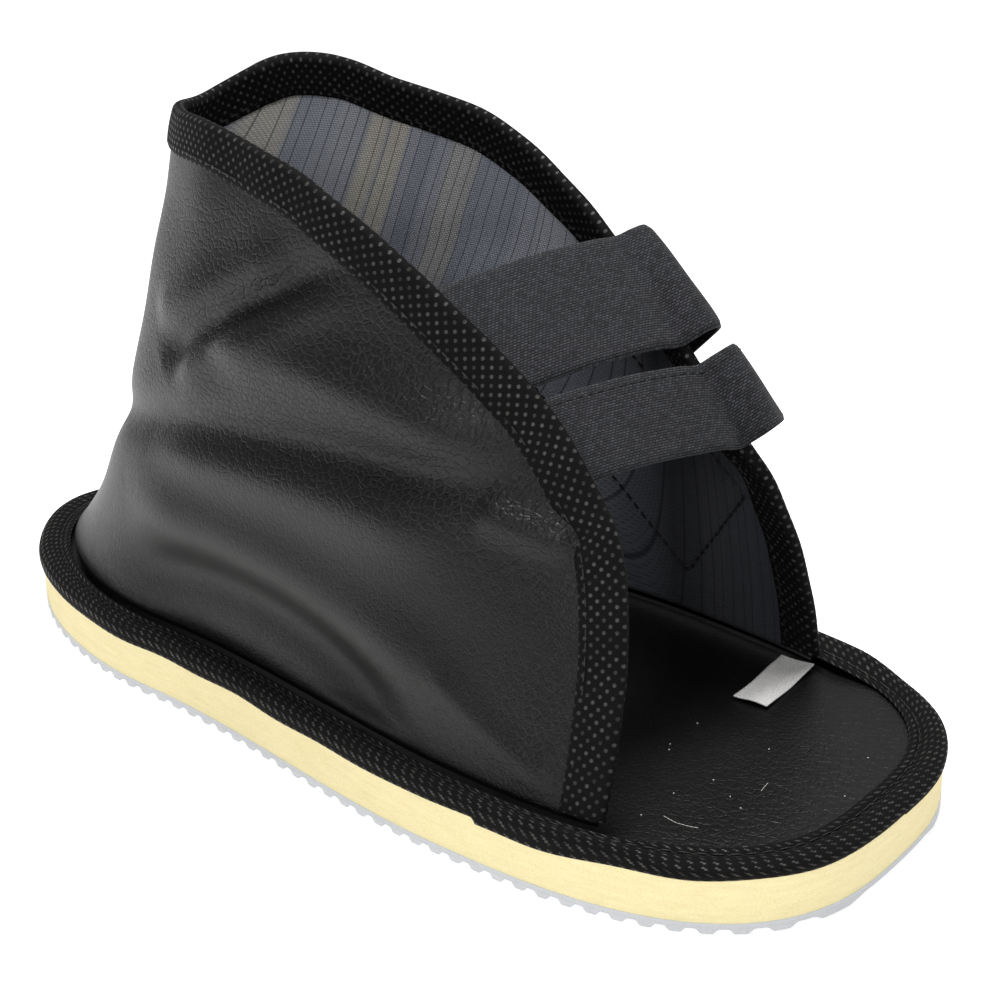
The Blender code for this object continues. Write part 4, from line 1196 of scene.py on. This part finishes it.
@dataclass(frozen=True)
class Studio:
    """Camera, pale floor and soft light."""

    azimuth: float = 0.6828302
    elevation: float = 0.4214222
    roll: float = -0.0187465
    distance: float = 0.5352127
    aside: float = 0.016853144
    above: float = 0.05004718
    lens: float = 73.913

    def camera(self) -> None:
        """Set the camera where the photograph's perspective puts it."""
        az, el = self.azimuth, self.elevation
        back = np.array([math.sin(az) * math.cos(el), -math.cos(az) * math.cos(el), math.sin(el)])
        level = unit(np.cross([0.0, 0.0, 1.0], back))
        upright = np.cross(back, level)
        right = level * math.cos(self.roll) + upright * math.sin(self.roll)
        up = upright * math.cos(self.roll) - level * math.sin(self.roll)
        place = back * self.distance + right * self.aside + up * self.above
        data = bpy.data.cameras.new("camera")
        data.lens = self.lens
        data.sensor_width = 36.0
        data.clip_start = 0.01
        camera = bpy.data.objects.new("camera", data)
        camera.matrix_world = Matrix.Translation(place.tolist()) @ Matrix(np.stack([right, up, back], 1).tolist()).to_4x4()
        bpy.context.scene.collection.objects.link(camera)
        bpy.context.scene.camera = camera

    def light(self, name: str, place: tuple, power: float, size: float) -> None:
        """A square area light that points at the shoe."""
        data = bpy.data.lights.new(name, "AREA")
        data.energy, data.size = power, size
        lamp = bpy.data.objects.new(name, data)
        lamp.location = place
        lamp.rotation_euler = (Vector((0.0, 0.0, 0.05)) - Vector(place)).to_track_quat("-Z", "Y").to_euler()
        bpy.context.scene.collection.objects.link(lamp)

    def build(self) -> None:
        """Camera, two lights, white surroundings and the floor."""
        self.camera()
        self.light("overhead", (-0.05, 0.10, 1.0), 11.0, 0.40)
        self.light("front", (0.45, -1.0, 0.75), 4.4, 0.5)
        world = bpy.data.worlds.new("studio")
        world.use_nodes = True
        world.node_tree.nodes["Background"].inputs[0].default_value = (1.0, 1.0, 1.0, 1.0)
        world.node_tree.nodes["Background"].inputs[1].default_value = 0.30
        bpy.context.scene.world = world
        bpy.context.scene.view_settings.view_transform = "Standard"
        mesh = bpy.data.meshes.new("floor")
        wide = 6.0
        corners = [(-wide, -wide, 0.0), (wide, -wide, 0.0), (wide, wide, 0.0), (-wide, wide, 0.0)]
        mesh.from_pydata(corners, [], [(0, 1, 2, 3)])
        floor = bpy.data.objects.new("floor", mesh)
        finish = Plain("paper_floor", "#ffffff", 0.9, grain=40.0, depth=0.0).build()
        shader = finish.node_tree.nodes["Principled BSDF"]
        for link in list(finish.node_tree.links):
            if link.to_socket == shader.inputs["Base Color"]:
                finish.node_tree.links.remove(link)
        shader.inputs["Base Color"].default_value = (0.85, 0.85, 0.85, 1.0)
        shader.inputs["Emission Color"].default_value = (1.0, 1.0, 1.0, 1.0)
        shader.inputs["Emission Strength"].default_value = 0.50
        mesh.materials.append(finish)
        bpy.context.scene.collection.objects.link(floor)


def main() -> None:
    """Build all pieces, then the studio."""
    logging.basicConfig(level=logging.INFO, format="%(message)s")
    Studio().build()
    Sole().build()
    Upper().build()
    RimTape().build()
    SoleTape().build()
    Strap("strap_upper", UPPER_STRAP_ROWS, 0.0415, 0.0480, 0.0315).build()
    Strap("strap_lower", LOWER_STRAP_ROWS, 0.0632, 0.0700, 0.022, seam=True).build()
    LoopPatch().build()
    LabelTab().build()
    Lint().build()


if __name__ == "__main__":
    main()
